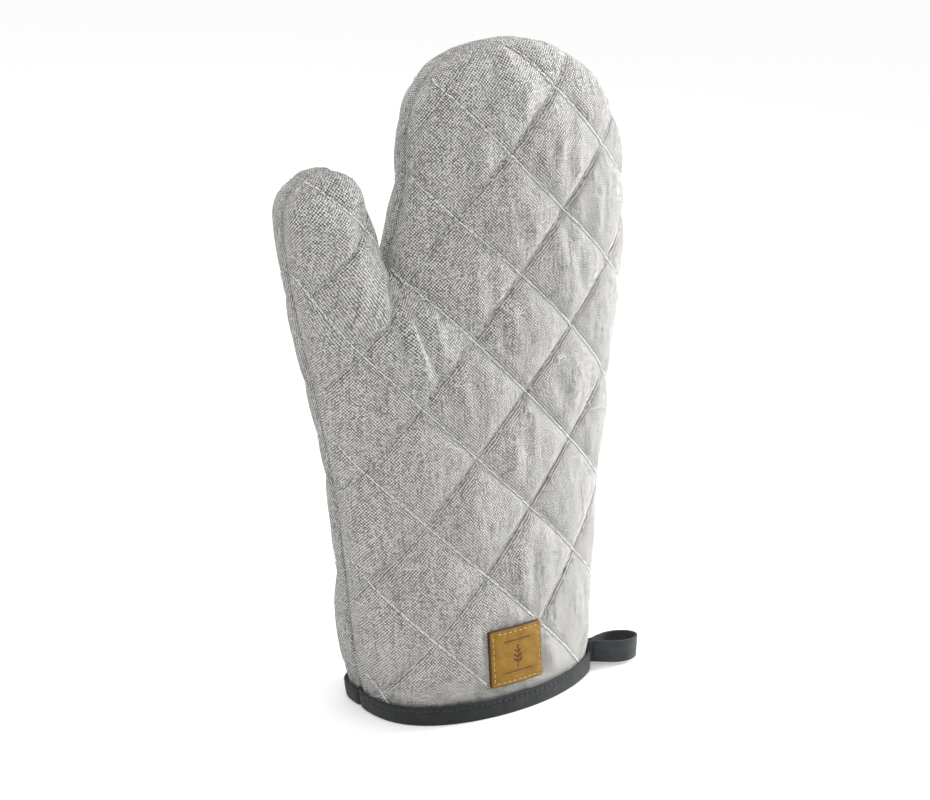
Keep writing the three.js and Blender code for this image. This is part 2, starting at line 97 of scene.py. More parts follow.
# %% Outline curves
CURVES = [
    [cuff_right, 0, cuff_right + 2.5, HEIGHT * 0.27,
     palm_x - 1.5, HEIGHT * 0.45, palm_x, HEIGHT * 0.73],
    [palm_x, HEIGHT * 0.73, palm_x + 1.5, HEIGHT * 0.91,
     top_x + HAND_WIDTH * 0.31, HEIGHT, top_x, HEIGHT],
    [top_x, HEIGHT, top_x - HAND_WIDTH * 0.29, HEIGHT,
     INDEX_X - 1, HEIGHT * 0.95, INDEX_X, HEIGHT * 0.836],
    [INDEX_X, HEIGHT * 0.836, INDEX_X, HEIGHT * 0.776,
     crotch_x + 6, crotch_z + 22, crotch_x + 1.5, crotch_z + 5],
    [crotch_x + 1.5, crotch_z + 5, crotch_x + 0.6, crotch_z,
     crotch_x - 1.2, crotch_z, crotch_x - 2, crotch_z + 5],
    [crotch_x - 2, crotch_z + 5, crotch_x - 4, crotch_z + 16,
     thumb_in + 3.4, thumb_side - 8, thumb_in, thumb_side],
    [thumb_in, thumb_side, thumb_in - 5, thumb_side + 16,
     tip_x + 11, thumb_top, tip_x, thumb_top],
    [tip_x, thumb_top, tip_x - 13.4, thumb_top,
     -THUMB_REACH, thumb_side + 13, -THUMB_REACH, thumb_side],
    [-THUMB_REACH, thumb_side, -THUMB_REACH, thumb_side - 36,
     wrist_x - 1.5, wrist_z + 45, wrist_x, wrist_z],
    [wrist_x, wrist_z, wrist_x + 4, wrist_z - 31, cuff_left - 7, 35, cuff_left, 0],
]


def evenly(line, step):
    """The same polyline with its points an equal distance apart, about step."""
    along = np.r_[0, np.cumsum(np.linalg.norm(np.diff(line, axis=0), axis=1))]
    at = np.linspace(0, along[-1], max(2, round(along[-1] / step)) + 1)
    return np.column_stack([np.interp(at, along, column) for column in line.T])


def outline(step):
    t = np.linspace(0, 1, 300)[:, None]
    parts = []
    for curve in CURVES:
        a, b, c, d = np.array(curve, float).reshape(4, 2)
        drawn = (1 - t) ** 3 * a + 3 * (1 - t) ** 2 * t * b + 3 * (1 - t) * t**2 * c + t**3 * d
        parts.append(evenly(drawn, step)[1 if parts else 0 :])
    return np.concatenate(parts)


EDGE = outline(4)
print("outline:", len(EDGE), "points")

# %% [markdown]
# ## The swell of a panel
# A hand inside makes the cloth stand away from the seam, steeply at first and then hardly
# more. That is a function of how far a point is from the outline. The plain distance has
# creases where two edges are equally near, so a rounded distance is used: an integral along
# the outline, which has a closed form for each straight piece of it.


# %% Rounded distance to the outline
def inset(x, z):
    total = np.zeros(np.shape(x))
    for mirror in (1, -1):  # the mirrored half keeps the cuff's end straight
        for (ax, az), (bx, bz) in zip(EDGE * (1, mirror), EDGE[1:] * (1, mirror)):
            long = math.hypot(bx - ax, bz - az)
            start = ((ax - x) * (bx - ax) + (az - z) * (bz - az)) / long
            off = np.maximum(1e-4, (ax - x) ** 2 + (az - z) ** 2 - start**2)
            for t, sign in ((start + long, 1), (start, -1)):
                total += sign * t / (off * np.sqrt(off + t * t))
    return np.sqrt(2 / total)


def smooth(t):
    t = np.clip(t, 0, 1)
    return t * t * (3 - 2 * t)


RISE = 60  # inset at which the swell has mostly levelled off


def rise(s):
    return 1 - np.exp(-s / RISE)


MIDDLE = rise(inset(np.array([(cuff_left + cuff_right) / 2]), np.array([0.0])))[0]
print("swell is 1 where rise is", round(float(MIDDLE), 3))


# %% Depth and middle surface
CUFF_FADE = HEIGHT * 0.45  # the cuff's own shape has given way to the hand's here
BELLY_FADE = HEIGHT * 0.58


def swell(side, x, z):
    """0 at the seam and about 1 in the middle; the back leaves the cuff's seams more steeply."""
    up = smooth(z / CUFF_FADE)
    power = 0.42 + 0.08 * up if side < 0 else 0.28 + 0.22 * up
    return (rise(inset(x, z)) / MIDDLE) ** power


def depth_of(grown, z):
    half = (CUFF_DEPTH + (HAND_DEPTH - CUFF_DEPTH) * smooth(z / CUFF_FADE)) / 2
    return (half - SEAM_ROLL) * grown


def middle_of(grown, x, z):
    """The surface halfway between the panels; grown is the front panel's swell."""
    fade = 1 - smooth(z / BELLY_FADE)
    twist = np.where(x > 0, CUFF_TWIST, CUFF_TWIST / 2)
    return -fade * (CUFF_FORWARD + twist * x * (1 - np.minimum(1, grown)) ** 2)


def surface(side, x, z):
    """How far back the panel stands at x, z; side is -1 for the front and 1 for the back."""
    return middle_of(swell(-1, x, z), x, z) + side * (SEAM_ROLL + depth_of(swell(side, x, z), z))


# %% [markdown]
# ## Standing on the frame
# The outline has its own axes, and the CAD model is centred on its whole box. The shift across
# comes from the thumb's tip. The shift in depth puts the seam halfway between the two outer
# walls, high up, where the mitt no longer leans forward.

# %% From the outline's own axes to the frame
UPRIGHT = 250  # above this height the middle surface is flat
SHIFT = np.array([1000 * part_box("outer_front")[0].x + THUMB_REACH, 0.0, 0.0])


def high_wall(name):
    wall = np.array([v.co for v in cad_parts[name].data.vertices]) * 1000
    return wall[wall[:, 2] > UPRIGHT][:, 1]


SHIFT[1] = (high_wall("outer_front").max() + high_wall("outer_back").min()) / 2


def placed(points):
    """Outline axes in millimetres to the frame in metres."""
    return (np.asarray(points, float) + SHIFT) / 1000


print("shift to the frame, mm:", SHIFT.round(2))

# %% [markdown]
# ## Cloth coordinates
# Sewn lines and weave are straight on the flat cloth, not on the swollen mitt. So every
# point gets cloth coordinates: u runs along the cloth across the mitt, measured on the
# curved surface, and v runs up it. A table of u is made row by row, and evened out on the
# thumb, where the rows above the notch cross a gap and the rows below it don't.


# %% Table of distances along the cloth
def within(x, z, ring):
    odd = np.zeros(np.shape(x), bool)
    for (ax, az), (bx, bz) in zip(ring, np.roll(ring, -1, axis=0)):
        if az != bz:
            odd ^= ((az > z) != (bz > z)) & (x < (bx - ax) * (z - az) / (bz - az) + ax)
    return odd


GRID_STEP, ROW_STEP = 0.5, 2.0
GRID_X = np.arange(-125, 125.1, GRID_STEP)
GRID_Z = np.arange(0, HEIGHT + ROW_STEP, ROW_STEP)
EVEN_ROWS = 10  # rows on either side that are averaged on the thumb
NOTCH_BLEND = 16  # width over which the averaging sets in


def cloth_table(side):
    x, z = np.meshgrid(GRID_X, GRID_Z)
    on = within(x, z, EDGE)
    y = np.where(on, surface(side, np.where(on, x, 0), z), 0)
    both = on[:, 1:] & on[:, :-1]
    stretch = np.where(both, np.hypot(GRID_STEP, np.diff(y, axis=1)), GRID_STEP)
    u = np.concatenate([np.zeros((len(z), 1)), np.cumsum(stretch, axis=1)], axis=1)
    u -= u[:, [np.argmin(abs(GRID_X))]]
    tall = np.pad(u, ((EVEN_ROWS, EVEN_ROWS), (0, 0)), mode="edge")
    count = 2 * EVEN_ROWS + 1
    even = sum(tall[k : k + len(u)] for k in range(count)) / count
    share = smooth((crotch_x + NOTCH_BLEND / 2 - GRID_X) / NOTCH_BLEND)
    return u * (1 - share) + even * share


TABLE = {side: cloth_table(side) for side in (-1, 1)}


def lookup(table, x, z):
    """Bilinear reading of a table over GRID_X and GRID_Z."""
    i = np.clip((x - GRID_X[0]) / GRID_STEP, 0, len(GRID_X) - 1.001)
    j = np.clip((z - GRID_Z[0]) / ROW_STEP, 0, len(GRID_Z) - 1.001)
    a, b = i.astype(int), j.astype(int)
    s, t = i - a, j - b
    return ((table[b, a] * (1 - s) + table[b, a + 1] * s) * (1 - t)
            + (table[b + 1, a] * (1 - s) + table[b + 1, a + 1] * s) * t)


print("cloth across the cuff:", round(float(np.ptp(TABLE[-1][0])), 1), "mm")

# %% [markdown]
# ## The quilting
# Two sets of straight lines cross at 45 degrees. Their numbers are worked out from the cloth
# coordinates: a point lies on a falling line where its first number is whole, and on a
# rising line where its second is.

# %% Quilting lines
DIAMOND = 41.5
QUILT_U = 44
QUILT_TOP = 307.5
QUILT_LEAN = 7
HALF = DIAMOND / math.sqrt(2)


def lean(v):
    """How far the upper cloth has shifted to the thumb; it was cut a little off the grain."""
    return QUILT_LEAN * smooth((v / HEIGHT - 0.58) / 0.25)


def line_numbers(u, v):
    across = (u - QUILT_U + lean(v)) / HALF
    down = (QUILT_TOP - v) / HALF
    return (down - across) / 2, (down + across) / 2


def line_distance(number):
    return abs(number - np.round(number)) * DIAMOND


print("sewn lines", DIAMOND, "mm apart, crossings every", round(2 * HALF, 1), "mm")

# %% [markdown]
# ## Chance, but the same each run
# Cloth is never even, so wrinkles, seams and tapes all wander a little. A seeded table of
# random values, read smoothly between its entries, gives the same wandering every time.


# %% Smooth noise for wrinkles
def noise(x, y, seed):
    """Smooth random values of about -1 to 1, one wave per unit."""
    table = np.random.default_rng(seed).uniform(-1, 1, (256, 256))
    i, j = np.floor(x).astype(int), np.floor(y).astype(int)
    s, t = smooth(x - i), smooth(y - j)
    at = lambda a, b: table[(i + a) % 256, (j + b) % 256]
    return (at(0, 0) * (1 - s) + at(1, 0) * s) * (1 - t) + (at(0, 1) * (1 - s) + at(1, 1) * s) * t


# %% [markdown]
# ## The relief of the cloth
# Wadding fills each diamond into a low pillow with steep shoulders, and the thread pulls a
# narrow crease. On top come soft folds: where the thumb bends away the cloth bunches, so
# folds start at the notch and run down the palm.

# %% Folds
FOLDS = [  # x, z of three points along it, depth, width
    (-56, 218, -53.5, 198, -48.5, 172, 3.6, 2.4),
    (-46, 210, -40, 190, -34, 177, 3.1, 2.7),
    (-49, 222, -36, 215, -15, 198, 3.1, 3.4),
    (-4, 208, 2.5, 194, 5, 178, 2.4, 2.8),
    (-36, 180, -29, 168, -23, 148, 2.6, 3.6),
    (-19, 174, -15, 162, -12, 150, 0.9, 3.4),
    (-30, 246, -31, 236, -29, 226, 0.9, 2.8),
    (-24, 214, -14, 208, -6, 212, 0.9, 2.4),
    (5, 320, -3, 303, -9, 287, 1.4, 3.0),
    (16, 278, 22, 269, 28, 257, 1.5, 3.0),
    (31, 307, 23, 298, 17, 288, 1.4, 3.0),
    (-27, 308, -31, 294, -33, 280, 1.0, 3.6),
    (11, 251, 14, 242, 16, 232, 1.2, 2.6),
    (-50, 168, -45, 157, -40, 145, 0.9, 3.8),
    (36, 252, 40, 240, 41, 228, 1.1, 3.0),
    (34, 168, 37, 158, 38, 146, 0.9, 3.2),
    (-64, 196, -66, 182, -64, 168, 1.0, 3.0),
    (-84, 246, -82, 232, -78, 220, 0.8, 3.0),
    (8, 120, 12, 108, 12, 96, 0.8, 3.4),
    (-30, 112, -27, 100, -28, 86, 0.8, 3.6),
]


FOLD_SOFTNESS = 1.25  # how much wider than listed a fold opens in padded cloth


def to_segment(x, z, x0, z0, x1, z1):
    """Distance to a segment, and how far along it the nearest point is."""
    dx, dz = x1 - x0, z1 - z0
    t = np.clip(((x - x0) * dx + (z - z0) * dz) / math.hypot(dx, dz) ** 2, 0, 1)
    return np.hypot(x - x0 - t * dx, z - z0 - t * dz), t


def fold(x, z, x0, z0, x1, z1, x2, z2, depth, width):
    """A valley along two segments, deepest in the middle, with a low bank on either side."""
    (first, s), (second, t) = to_segment(x, z, x0, z0, x1, z1), to_segment(x, z, x1, z1, x2, z2)
    along = np.where(first < second, s / 2, 0.5 + t / 2)
    off = np.minimum(first, second) + 0.7 * noise(x / 8, z / 8, 5)
    width = width * FOLD_SOFTNESS
    valley = 0.5 * np.exp(-(((off - 1.9 * width) / width) ** 2)) - np.exp(-((off / width) ** 2))
    return depth * valley * np.sin(np.pi * np.clip(0.1 + 0.9 * along, 0, 1)) ** 0.6


# %% Relief
PUFF = 3.1  # millimetres that the middle of a diamond stands out
SHOULDER = 5.2  # how far from a sewn line the pillow has mostly risen


def relief(side, x, z, u, v, edge):
    """Millimetres that the cloth stands out of the panel; edge is the distance to the seam."""
    falling, rising = (line_distance(n) for n in line_numbers(u, v))
    pillow = (1 - np.exp(-falling / SHOULDER)) * (1 - np.exp(-rising / SHOULDER))
    crease = 0.4 * np.exp(-((falling / 0.9) ** 2)) + 1.1 * np.exp(-((rising / 1.1) ** 2))
    streak = noise(u / 6.0, v / 24, 11 + side) * 0.8 + noise(u / 3.1, v / 11, 23 + side) * 0.35
    lumps = noise(u / 15, v / 15, 31 + side) * 0.7
    out = PUFF * pillow - crease + (streak + lumps) * pillow
    if side < 0:
        for line in FOLDS:
            out = out + fold(x, z, *line) * (0.3 + 0.7 * pillow)
    else:
        out = out + noise(u / 5, v / 19, 57) * 0.7 * pillow
    cuff = smooth((v - BINDING_HEIGHT + 1) / 14)
    pinched = 0.5 * (1 - smooth((v - BINDING_HEIGHT) / 9))
    return out * smooth((edge - 2.5) / 17) * cuff - pinched


# %% [markdown]
# ## A panel's mesh
# Rings of quads follow the seam, closer together where the cloth turns steeply, so the
# rolled edge is smooth. The inside is filled with a triangular pattern by Blender's
# constrained Delaunay routine. One function makes a panel at any fineness.


# %% Rings along the seam
def seam_rings(step, reach=8.0):
    s = np.linspace(0, 1, 4000) ** 2 * reach
    d = 32 * (rise(s) / MIDDLE) ** 0.4
    along = np.r_[0, np.cumsum(np.hypot(np.diff(s), np.diff(d)))]
    count = round(along[-1] / step)
    return np.interp(np.linspace(0, along[-1], count + 1), along, s)


def rim_with_normals(step):
    rim = evenly(outline(0.5), step)
    rim[[0, -1], 1] = PANEL_BOTTOM
    t = np.gradient(rim, axis=0)
    t[0], t[-1] = (0, 1), (0, -1)
    for _ in range(2):
        t[1:-1] = (t[:-2] + 2 * t[1:-1] + t[2:]) / 4
    t /= np.linalg.norm(t, axis=1)[:, None]
    return rim, np.column_stack([-t[:, 1], t[:, 0]])


# %% Flat mesh of a panel
def flat_panel(step):
    """Points of the cloth laid flat: seam rings from the rim inwards, then the filling."""
    rim, inward = rim_with_normals(step)
    depths = seam_rings(step)
    rings = [rim + inward * s for s in depths]
    n, k = len(rim), len(depths)
    last = rings[-1]
    width = last[0, 0] - last[-1, 0]
    count = round(width / step)
    hem = np.column_stack([np.linspace(last[-1, 0], last[0, 0], count + 1)[1:-1],
                           np.full(count - 1, PANEL_BOTTOM)])
    ring = np.concatenate([last, hem])
    x, z = np.meshgrid(np.arange(-130, 130, step),
                       np.arange(PANEL_BOTTOM + step, HEIGHT, step * 0.866))
    x = x + (np.arange(len(x)) % 2 * step / 2)[:, None]
    fill = np.column_stack([x.ravel(), z.ravel()])
    fill = fill[within(fill[:, 0], fill[:, 1], ring)]
    closest = np.full(len(fill), 1e9)
    for p in ring:
        closest = np.minimum(closest, (fill[:, 0] - p[0]) ** 2 + (fill[:, 1] - p[1]) ** 2)
    fill = fill[closest > (0.6 * step) ** 2]
    flat = np.concatenate([ring, fill])
    made = geometry.delaunay_2d_cdt(
        [Vector(p) for p in flat], [], [list(range(len(ring)))], 1, 1e-5)
    assert len(made[0]) == len(flat), "the filling lost points"
    points = np.concatenate([*rings[:-1], flat])
    base = (k - 1) * n
    faces = [[a + base for a in f] for f in made[2]]
    for r in range(k - 1):
        a = np.arange(n - 1) + r * n
        faces += np.column_stack([a, a + n, a + n + 1, a + 1]).tolist()
    return {"points": points, "faces": faces, "inward": inward, "rows": k, "n": n}


def signed_area(points, f):
    p = points[f]
    return 0.5 * (np.dot(p[:, 0], np.roll(p[:, 1], -1)) - np.dot(p[:, 1], np.roll(p[:, 0], -1)))


# %% Normals and panel surface
def vertex_normals(points, faces):
    normals = np.zeros_like(points)
    for size in (3, 4):
        f = np.array([g for g in faces if len(g) == size])
        if len(f):
            n = np.cross(points[f[:, 1]] - points[f[:, 0]], points[f[:, 2]] - points[f[:, 0]])
            if size == 4:
                n += np.cross(points[f[:, 2]] - points[f[:, 0]], points[f[:, 3]] - points[f[:, 0]])
            for column in range(size):
                np.add.at(normals, f[:, column], n)
    return normals / np.maximum(np.linalg.norm(normals, axis=1), 1e-9)[:, None]


LAST_TURN = 0.62 * math.pi  # the cloth dives a little past flat, so no light shows through


def smooth_panel(side, step, turns=4):
    """The panel without relief: points, faces, cloth coordinates and distance to the seam."""
    flat = flat_panel(step)
    p, n, rows = flat["points"], flat["n"], flat["rows"]
    x, z = p[:, 0], np.maximum(p[:, 1], PANEL_BOTTOM)
    front, grown = swell(-1, x, z), swell(side, x, z)
    front[:n] = grown[:n] = 0
    y = middle_of(front, x, z) + side * (SEAM_ROLL + depth_of(grown, z))
    points = np.column_stack([x, y, z])
    cloth = np.column_stack([lookup(TABLE[side], x, z), z])
    edge = np.full(len(points), 99.0)
    at = (rows - 1) * n + np.arange(n)  # the innermost ring, then outwards along the cloth
    run = np.zeros(n)
    for r in range(rows - 2, -1, -1):
        here = r * n + np.arange(n)
        run = run + np.linalg.norm(points[here] - points[here + n], axis=1)
        cloth[here] = cloth[at] - flat["inward"] * run[:, None]
        edge[here] = -run
    whole = run
    quarter = SEAM_ROLL * math.pi / 2
    for r in range(rows - 1):
        edge[r * n + np.arange(n)] += whole + quarter
    edge[at] = whole + quarter
    faces = [f if (signed_area(p, f) > 0) == (side < 0) else f[::-1] for f in flat["faces"]]
    inward3 = np.column_stack([flat["inward"][:, 0], np.zeros(n), flat["inward"][:, 1]])
    low = 1 - smooth(points[:n, 2] / 150)
    tuck = (2.2 + 3.0 * low)[:, None]  # how deep the seam lies between its two rolls
    last, added, cloths, edges = np.arange(n), [points], [cloth], [edge]
    rim_cloth = cloth[:n]
    for turn in np.linspace(0, 0.5 * math.pi, turns + 1)[1:].tolist() + [LAST_TURN]:
        roll = inward3 * tuck * (1 - math.cos(turn))
        roll[:, 1] = -side * SEAM_ROLL * math.sin(min(turn, 0.5 * math.pi))
        added.append(points[:n] + roll)
        cloths.append(rim_cloth - flat["inward"] * SEAM_ROLL * turn)
        edges.append(np.full(n, SEAM_ROLL * max(0, math.pi / 2 - turn)))
        here = np.arange(n) + sum(len(a) for a in added[:-1])
        for i in range(n - 1):
            quad = [last[i], here[i], here[i + 1], last[i + 1]]
            faces.append([int(q) for q in (quad if side < 0 else quad[::-1])])
        last = here
    return {"points": np.concatenate(added), "faces": faces, "cloth": np.concatenate(cloths),
            "edge": np.concatenate(edges)}


# %% [markdown]
# ## From numbers to objects
# Every piece is made by one routine that also stores the cloth coordinates on its points, so
# the materials can read them. Cloth has a thickness, so a sheet is doubled and walled in.

# %% Mesh objects
def add_mesh(name, points, faces, attributes):
    """A mesh object in the frame, from points in outline axes, with point attributes."""
    mesh = bpy.data.meshes.new(name)
    mesh.from_pydata(placed(points).tolist(), [], faces)
    mesh.validate()
    mesh.polygons.foreach_set("use_smooth", np.ones(len(mesh.polygons), bool))
    for key, values in attributes.items():
        values = np.asarray(values, np.float32)
        if values.ndim == 1:
            mesh.attributes.new(key, "FLOAT", "POINT").data.foreach_set("value", values)
        else:
            full = np.zeros((len(values), 3), np.float32)
            full[:, : values.shape[1]] = values
            stored = mesh.attributes.new(key, "FLOAT_VECTOR", "POINT")
            stored.data.foreach_set("vector", full.ravel())
    mesh.update()
    made = bpy.data.objects.new(name, mesh)
    bpy.context.collection.objects.link(made)
    return made


def thickened(points, faces, normals, thick):
    """A closed shell: the sheet, its copy moved in by thick, and a wall along its open edges."""
    n = len(points)
    inner = points - normals * np.reshape(thick, (-1, 1))
    seen = {}
    for f in faces:
        for a, b in zip(f, f[1:] + f[:1]):
            if (b, a) in seen:
                del seen[(b, a)]
            else:
                seen[(a, b)] = True
    walls = [[a, a + n, b + n, b] for a, b in seen]
    lining = [[q + n for q in f[::-1]] for f in faces]
    return np.concatenate([points, inner]), faces + lining + walls


# %% [markdown]
# ## Outer panels
# Each panel is outer cloth with wadding behind it. The seam squeezes the wadding, and so does
# the binding, so the thickness falls off towards both. Under the patch the front is flat.

# %% Front and back panels
STEP = 1.6  # length of a quad along the seam
PADDING = 4.6
SQUEEZE = 0.45  # share of the thickness left at the seam and under the binding
PANELS = {}


def squeezed(p):
    """Share of the full thickness at each point of a panel."""
    near = np.minimum(p["edge"], p["points"][:, 2] - 8)
    return SQUEEZE + (1 - SQUEEZE) * smooth(near / 16)


def level_normals(p):
    """Normals of a panel, kept level along its bottom edge so that the edge stays flat."""
    normals = vertex_normals(p["points"], p["faces"])
    normals[p["points"][:, 2] < PANEL_BOTTOM + 0.01, 2] = 0
    return normals


PATCH_LOW, PATCH_HIGH = (1000 * np.array(c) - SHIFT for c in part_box("leather_patch"))
for side, where in ((-1, "front"), (1, "back")):
    p = smooth_panel(side, STEP)
    normals = level_normals(p)
    u, v = p["cloth"].T
    p["out"] = relief(side, p["points"][:, 0], p["points"][:, 2], u, v, p["edge"])
    if side < 0:
        x, z = p["points"][:, 0], p["points"][:, 2]
        off = np.maximum.reduce([PATCH_LOW[0] - x, x - PATCH_HIGH[0],
                                 PATCH_LOW[2] - z, z - PATCH_HIGH[2]])
        p["out"] *= smooth((off + 1) / 9)
    p["points"] = p["points"] + normals * p["out"][:, None]
    shell, faces = thickened(p["points"], p["faces"], normals, PADDING * squeezed(p) + p["out"])
    piece = add_mesh("panel_" + where, shell, faces,
                     {"cloth": np.tile(p["cloth"], (2, 1)), "relief": np.tile(p["out"], 2)})
    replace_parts(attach(piece, "mitt"), "outer_" + where, "wadding_" + where)
    p["object"] = piece
    PANELS[side] = p
    print("panel_" + where, len(shell), "points", len(faces), "faces")

# %% [markdown]
# ## Lining
# The hand meets a plain cotton lining, quilted to the outside through the wadding. It is the
# same panel pulled in by the thickness of the padding, so it needs far fewer points.

# %% Linings
LINING_STEP, LINING_DEPTH, LINING_THICK = 4.0, 5.4, 0.6
for side, where in ((-1, "front"), (1, "back")):
    p = smooth_panel(side, LINING_STEP, turns=2)
    normals = level_normals(p)
    u, v = p["cloth"].T
    near = np.minimum(*(line_distance(n) for n in line_numbers(u, v)))
    billow = (1 - np.exp(-near / 7)) * 1.2 * smooth(p["edge"] / 12)
    deep = LINING_DEPTH * squeezed(p) + billow + 0.4 * noise(u / 9, v / 14, 71)
    inner = p["points"] - normals * deep[:, None]
    shell, faces = thickened(inner, p["faces"], normals, LINING_THICK)
    piece = add_mesh("lining_cloth_" + where, shell, faces, {"cloth": np.tile(p["cloth"], (2, 1))})
    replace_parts(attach(piece, "mitt"), "lining_" + where)
    area = sum(signed_area(p["cloth"], f) for f in p["faces"])
    wide, tall = np.ptp(p["cloth"], axis=0) / 1000
    PANELS[where + " lining"] = piece
    print(piece.name, "is", round(wide * 1000), "x", round(tall * 1000), "mm laid flat")

# %% [markdown]
# ## Stitches
# Every sewn line is a row of separate stitches. Each one is a short thread that comes out of
# the cloth, lies on it and goes back in, so its two ends are lower than its middle. On the
# falling lines the thread stands proud; on the rising ones it is pulled down into the crease.


# %% Making stitches
SIDES = 6  # sides of a thread's section


def stitch_mesh(name, runs, length, gap, thick, sink, seed, lift=0.1):
    """One piece of thread: a stitch for every length + gap along each run of (points, normals)."""
    rng = np.random.default_rng(seed)
    points, faces, twist = [], [], []
    corner = np.arange(SIDES) * 2 * math.pi / SIDES
    for line, normals in runs:
        along = np.r_[0, np.cumsum(np.linalg.norm(np.diff(line, axis=0), axis=1))]
        starts = np.arange(gap, along[-1] - length, length + gap)
        for start in starts + rng.uniform(-0.12, 0.12, len(starts)):
            at = start + length * np.array([0, 0.12, 0.5, 0.88, 1])
            mid, up = (np.column_stack([np.interp(at, along, c) for c in a.T])
                       for a in (line, normals))
            t = np.gradient(mid, axis=0)
            t /= np.linalg.norm(t, axis=1)[:, None]
            up /= np.linalg.norm(up, axis=1)[:, None]
            wide = np.cross(t, up)
            wide /= np.linalg.norm(wide, axis=1)[:, None]
            arch = np.array([-sink, lift, lift + 0.1, lift, -sink])
            mid = mid + up * arch[:, None] + wide * rng.uniform(-0.12, 0.12)
            base = len(points)
            for k in range(5):
                for c in corner:
                    way = math.cos(c) * wide[k] + math.sin(c) * up[k] * 0.85
                    points.append(mid[k] + thick * way)
                    twist.append((at[k], c / math.pi))
            for k in range(4):
                for c in range(SIDES):
                    a, b = base + SIDES * k + c, base + SIDES * k + (c + 1) % SIDES
                    faces.append([a, b, b + SIDES, a + SIDES])
            last = base + 4 * SIDES
            faces += [list(range(base, base + SIDES))[::-1], list(range(last, last + SIDES))]
    print(name, len(points) // (5 * SIDES), "stitches")
    return add_mesh(name, np.array(points), faces, {"cloth": np.array(twist)})


# %% Sewn lines of the quilting
def runs_on_panel(side, rising):
    """Where the sewn lines of one direction lie on a finished panel, as points with normals."""
    p = PANELS[side]
    tree = BVHTree.FromPolygons(p["points"].tolist(), p["faces"])
    runs = []
    for number in range(-6, 14):
        v = np.arange(BINDING_HEIGHT - 1.5, HEIGHT, 0.5)
        start = QUILT_U - lean(v)
        down = (QUILT_TOP - v) / HALF
        u = start + HALF * ((2 * number - down) if rising else (down - 2 * number))
        x = np.array([np.interp(a, lookup(TABLE[side], GRID_X, np.full(len(GRID_X), b)), GRID_X)
                      for a, b in zip(u, v)])
        line, normals = [], []
        for px, pz, good in zip(x, v, within(x, v, EDGE) & (abs(x) < 120)):
            hit = (None,)
            if good:
                hit = tree.ray_cast(Vector((px, side * 200, pz)), Vector((0, -side, 0)))
            if hit[0] is None or (side < 0 and patch_covers(px, pz)):
                if len(line) > 12:
                    runs.append((np.array(line), np.array(normals)))
                line, normals = [], []
                continue
            line.append(hit[0])
            normals.append(hit[1] if hit[1].y * side > 0 else -hit[1])
        if len(line) > 12:
            runs.append((np.array(line), np.array(normals)))
    return runs


def patch_covers(x, z):
    """Whether the patch, and 1 mm round it, hides the cloth here."""
    return (PATCH_LOW[0] - 1 < x < PATCH_HIGH[0] + 1
            and PATCH_LOW[2] - 1 < z < PATCH_HIGH[2] + 1)


for side, where in ((-1, "front"), (1, "back")):
    for rising, lift in ((False, 0.45), (True, 0.0)):
        runs = runs_on_panel(side, rising)
        name = ("rising" if rising else "falling") + "_stitches_" + where
        piece = stitch_mesh(name, runs, length=2.9, gap=0.35, thick=0.33 if lift else 0.2,
                            sink=0.45, seed=3 + side, lift=lift)
        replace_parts(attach(piece, "mitt"), "quilting_thread_" + where)
        PANELS.setdefault("stitches", []).append(piece)

# %% [markdown]
# ## Swept pieces
# Binding, loop and cord are all one section carried along a path, so one routine makes them.


# %% Sweep
def sweep(name, sections, cloth, closed):
    """A body through sections, from one line of points along it for each point of a section."""
    sections, cloth = (np.array(a, float).transpose(1, 0, 2) for a in (sections, cloth))
    count, n, _ = sections.shape
    faces = []
    for i in range(count if closed else count - 1):
        j = (i + 1) % count
        for k in range(n):
            m = (k + 1) % n
            faces.append([i * n + k, i * n + m, j * n + m, j * n + k])
    if not closed:
        faces += [list(range(n))[::-1], list(range((count - 1) * n, count * n))]
    print(name, count * n, "points")
    return add_mesh(name, sections.reshape(-1, 3), faces, {"cloth": cloth.reshape(-1, 2)})


def seam_y(x, z):
    """How far back the side seam stands at x, z."""
    return float(middle_of(np.zeros(1), np.array([x]), np.array([z]))[0])


def edge_at(z, left):
    ring = EDGE[::-1] if left else EDGE
    k = int(np.argmax(ring[:, 1] > z))
    (ax, az), (bx, bz) = ring[k - 1], ring[k]
    return ax + (z - az) / (bz - az) * (bx - ax)


def cuff_loop(z, count):
    """The cloth's outside at a height, all round the cuff, with the dip where the panels meet."""
    left, right = edge_at(z, True), edge_at(z, False)
    share = 0.5 - 0.5 * np.cos(np.linspace(0, math.pi, 300))
    x = left + (right - left) * share
    heights = np.full(len(x), float(z))
    front = np.column_stack([x, surface(-1, x, heights)])
    back = np.column_stack([x, surface(1, x, heights)])[::-1]
    turn = np.linspace(0.1, 1, 8)[:, None] * 0.42 * math.pi
    corners = []
    for px, way in ((right, 1), (left, -1)):
        arc = np.column_stack([px - way * 4.6 * (1 - np.cos(turn)),
                               -SEAM_ROLL * (1 - np.sin(turn))])
        corners.append((seam_y(px, z), arc))
    (yr, arc_r), (yl, arc_l) = corners
    right_side = np.concatenate([arc_r + (0, yr), (arc_r * (1, -1))[::-1] + (0, yr)])
    left_side = np.concatenate([arc_l * (1, -1) + (0, yl), arc_l[::-1] + (0, yl)])
    ring = np.concatenate([front, right_side, back, left_side])
    ring = evenly(np.concatenate([ring, ring[:1]]), 0.4)[:-1]
    for _ in range(6):
        ring = (np.roll(ring, 1, axis=0) + 2 * ring + np.roll(ring, -1, axis=0)) / 4
    along = np.r_[0, np.cumsum(np.linalg.norm(np.diff(np.r_[ring, ring[:1]], axis=0), axis=1))]
    at = np.linspace(0, along[-1], count, endpoint=False)
    return np.column_stack([np.interp(at, along, np.r_[c, c[0]]) for c in ring.T]), at


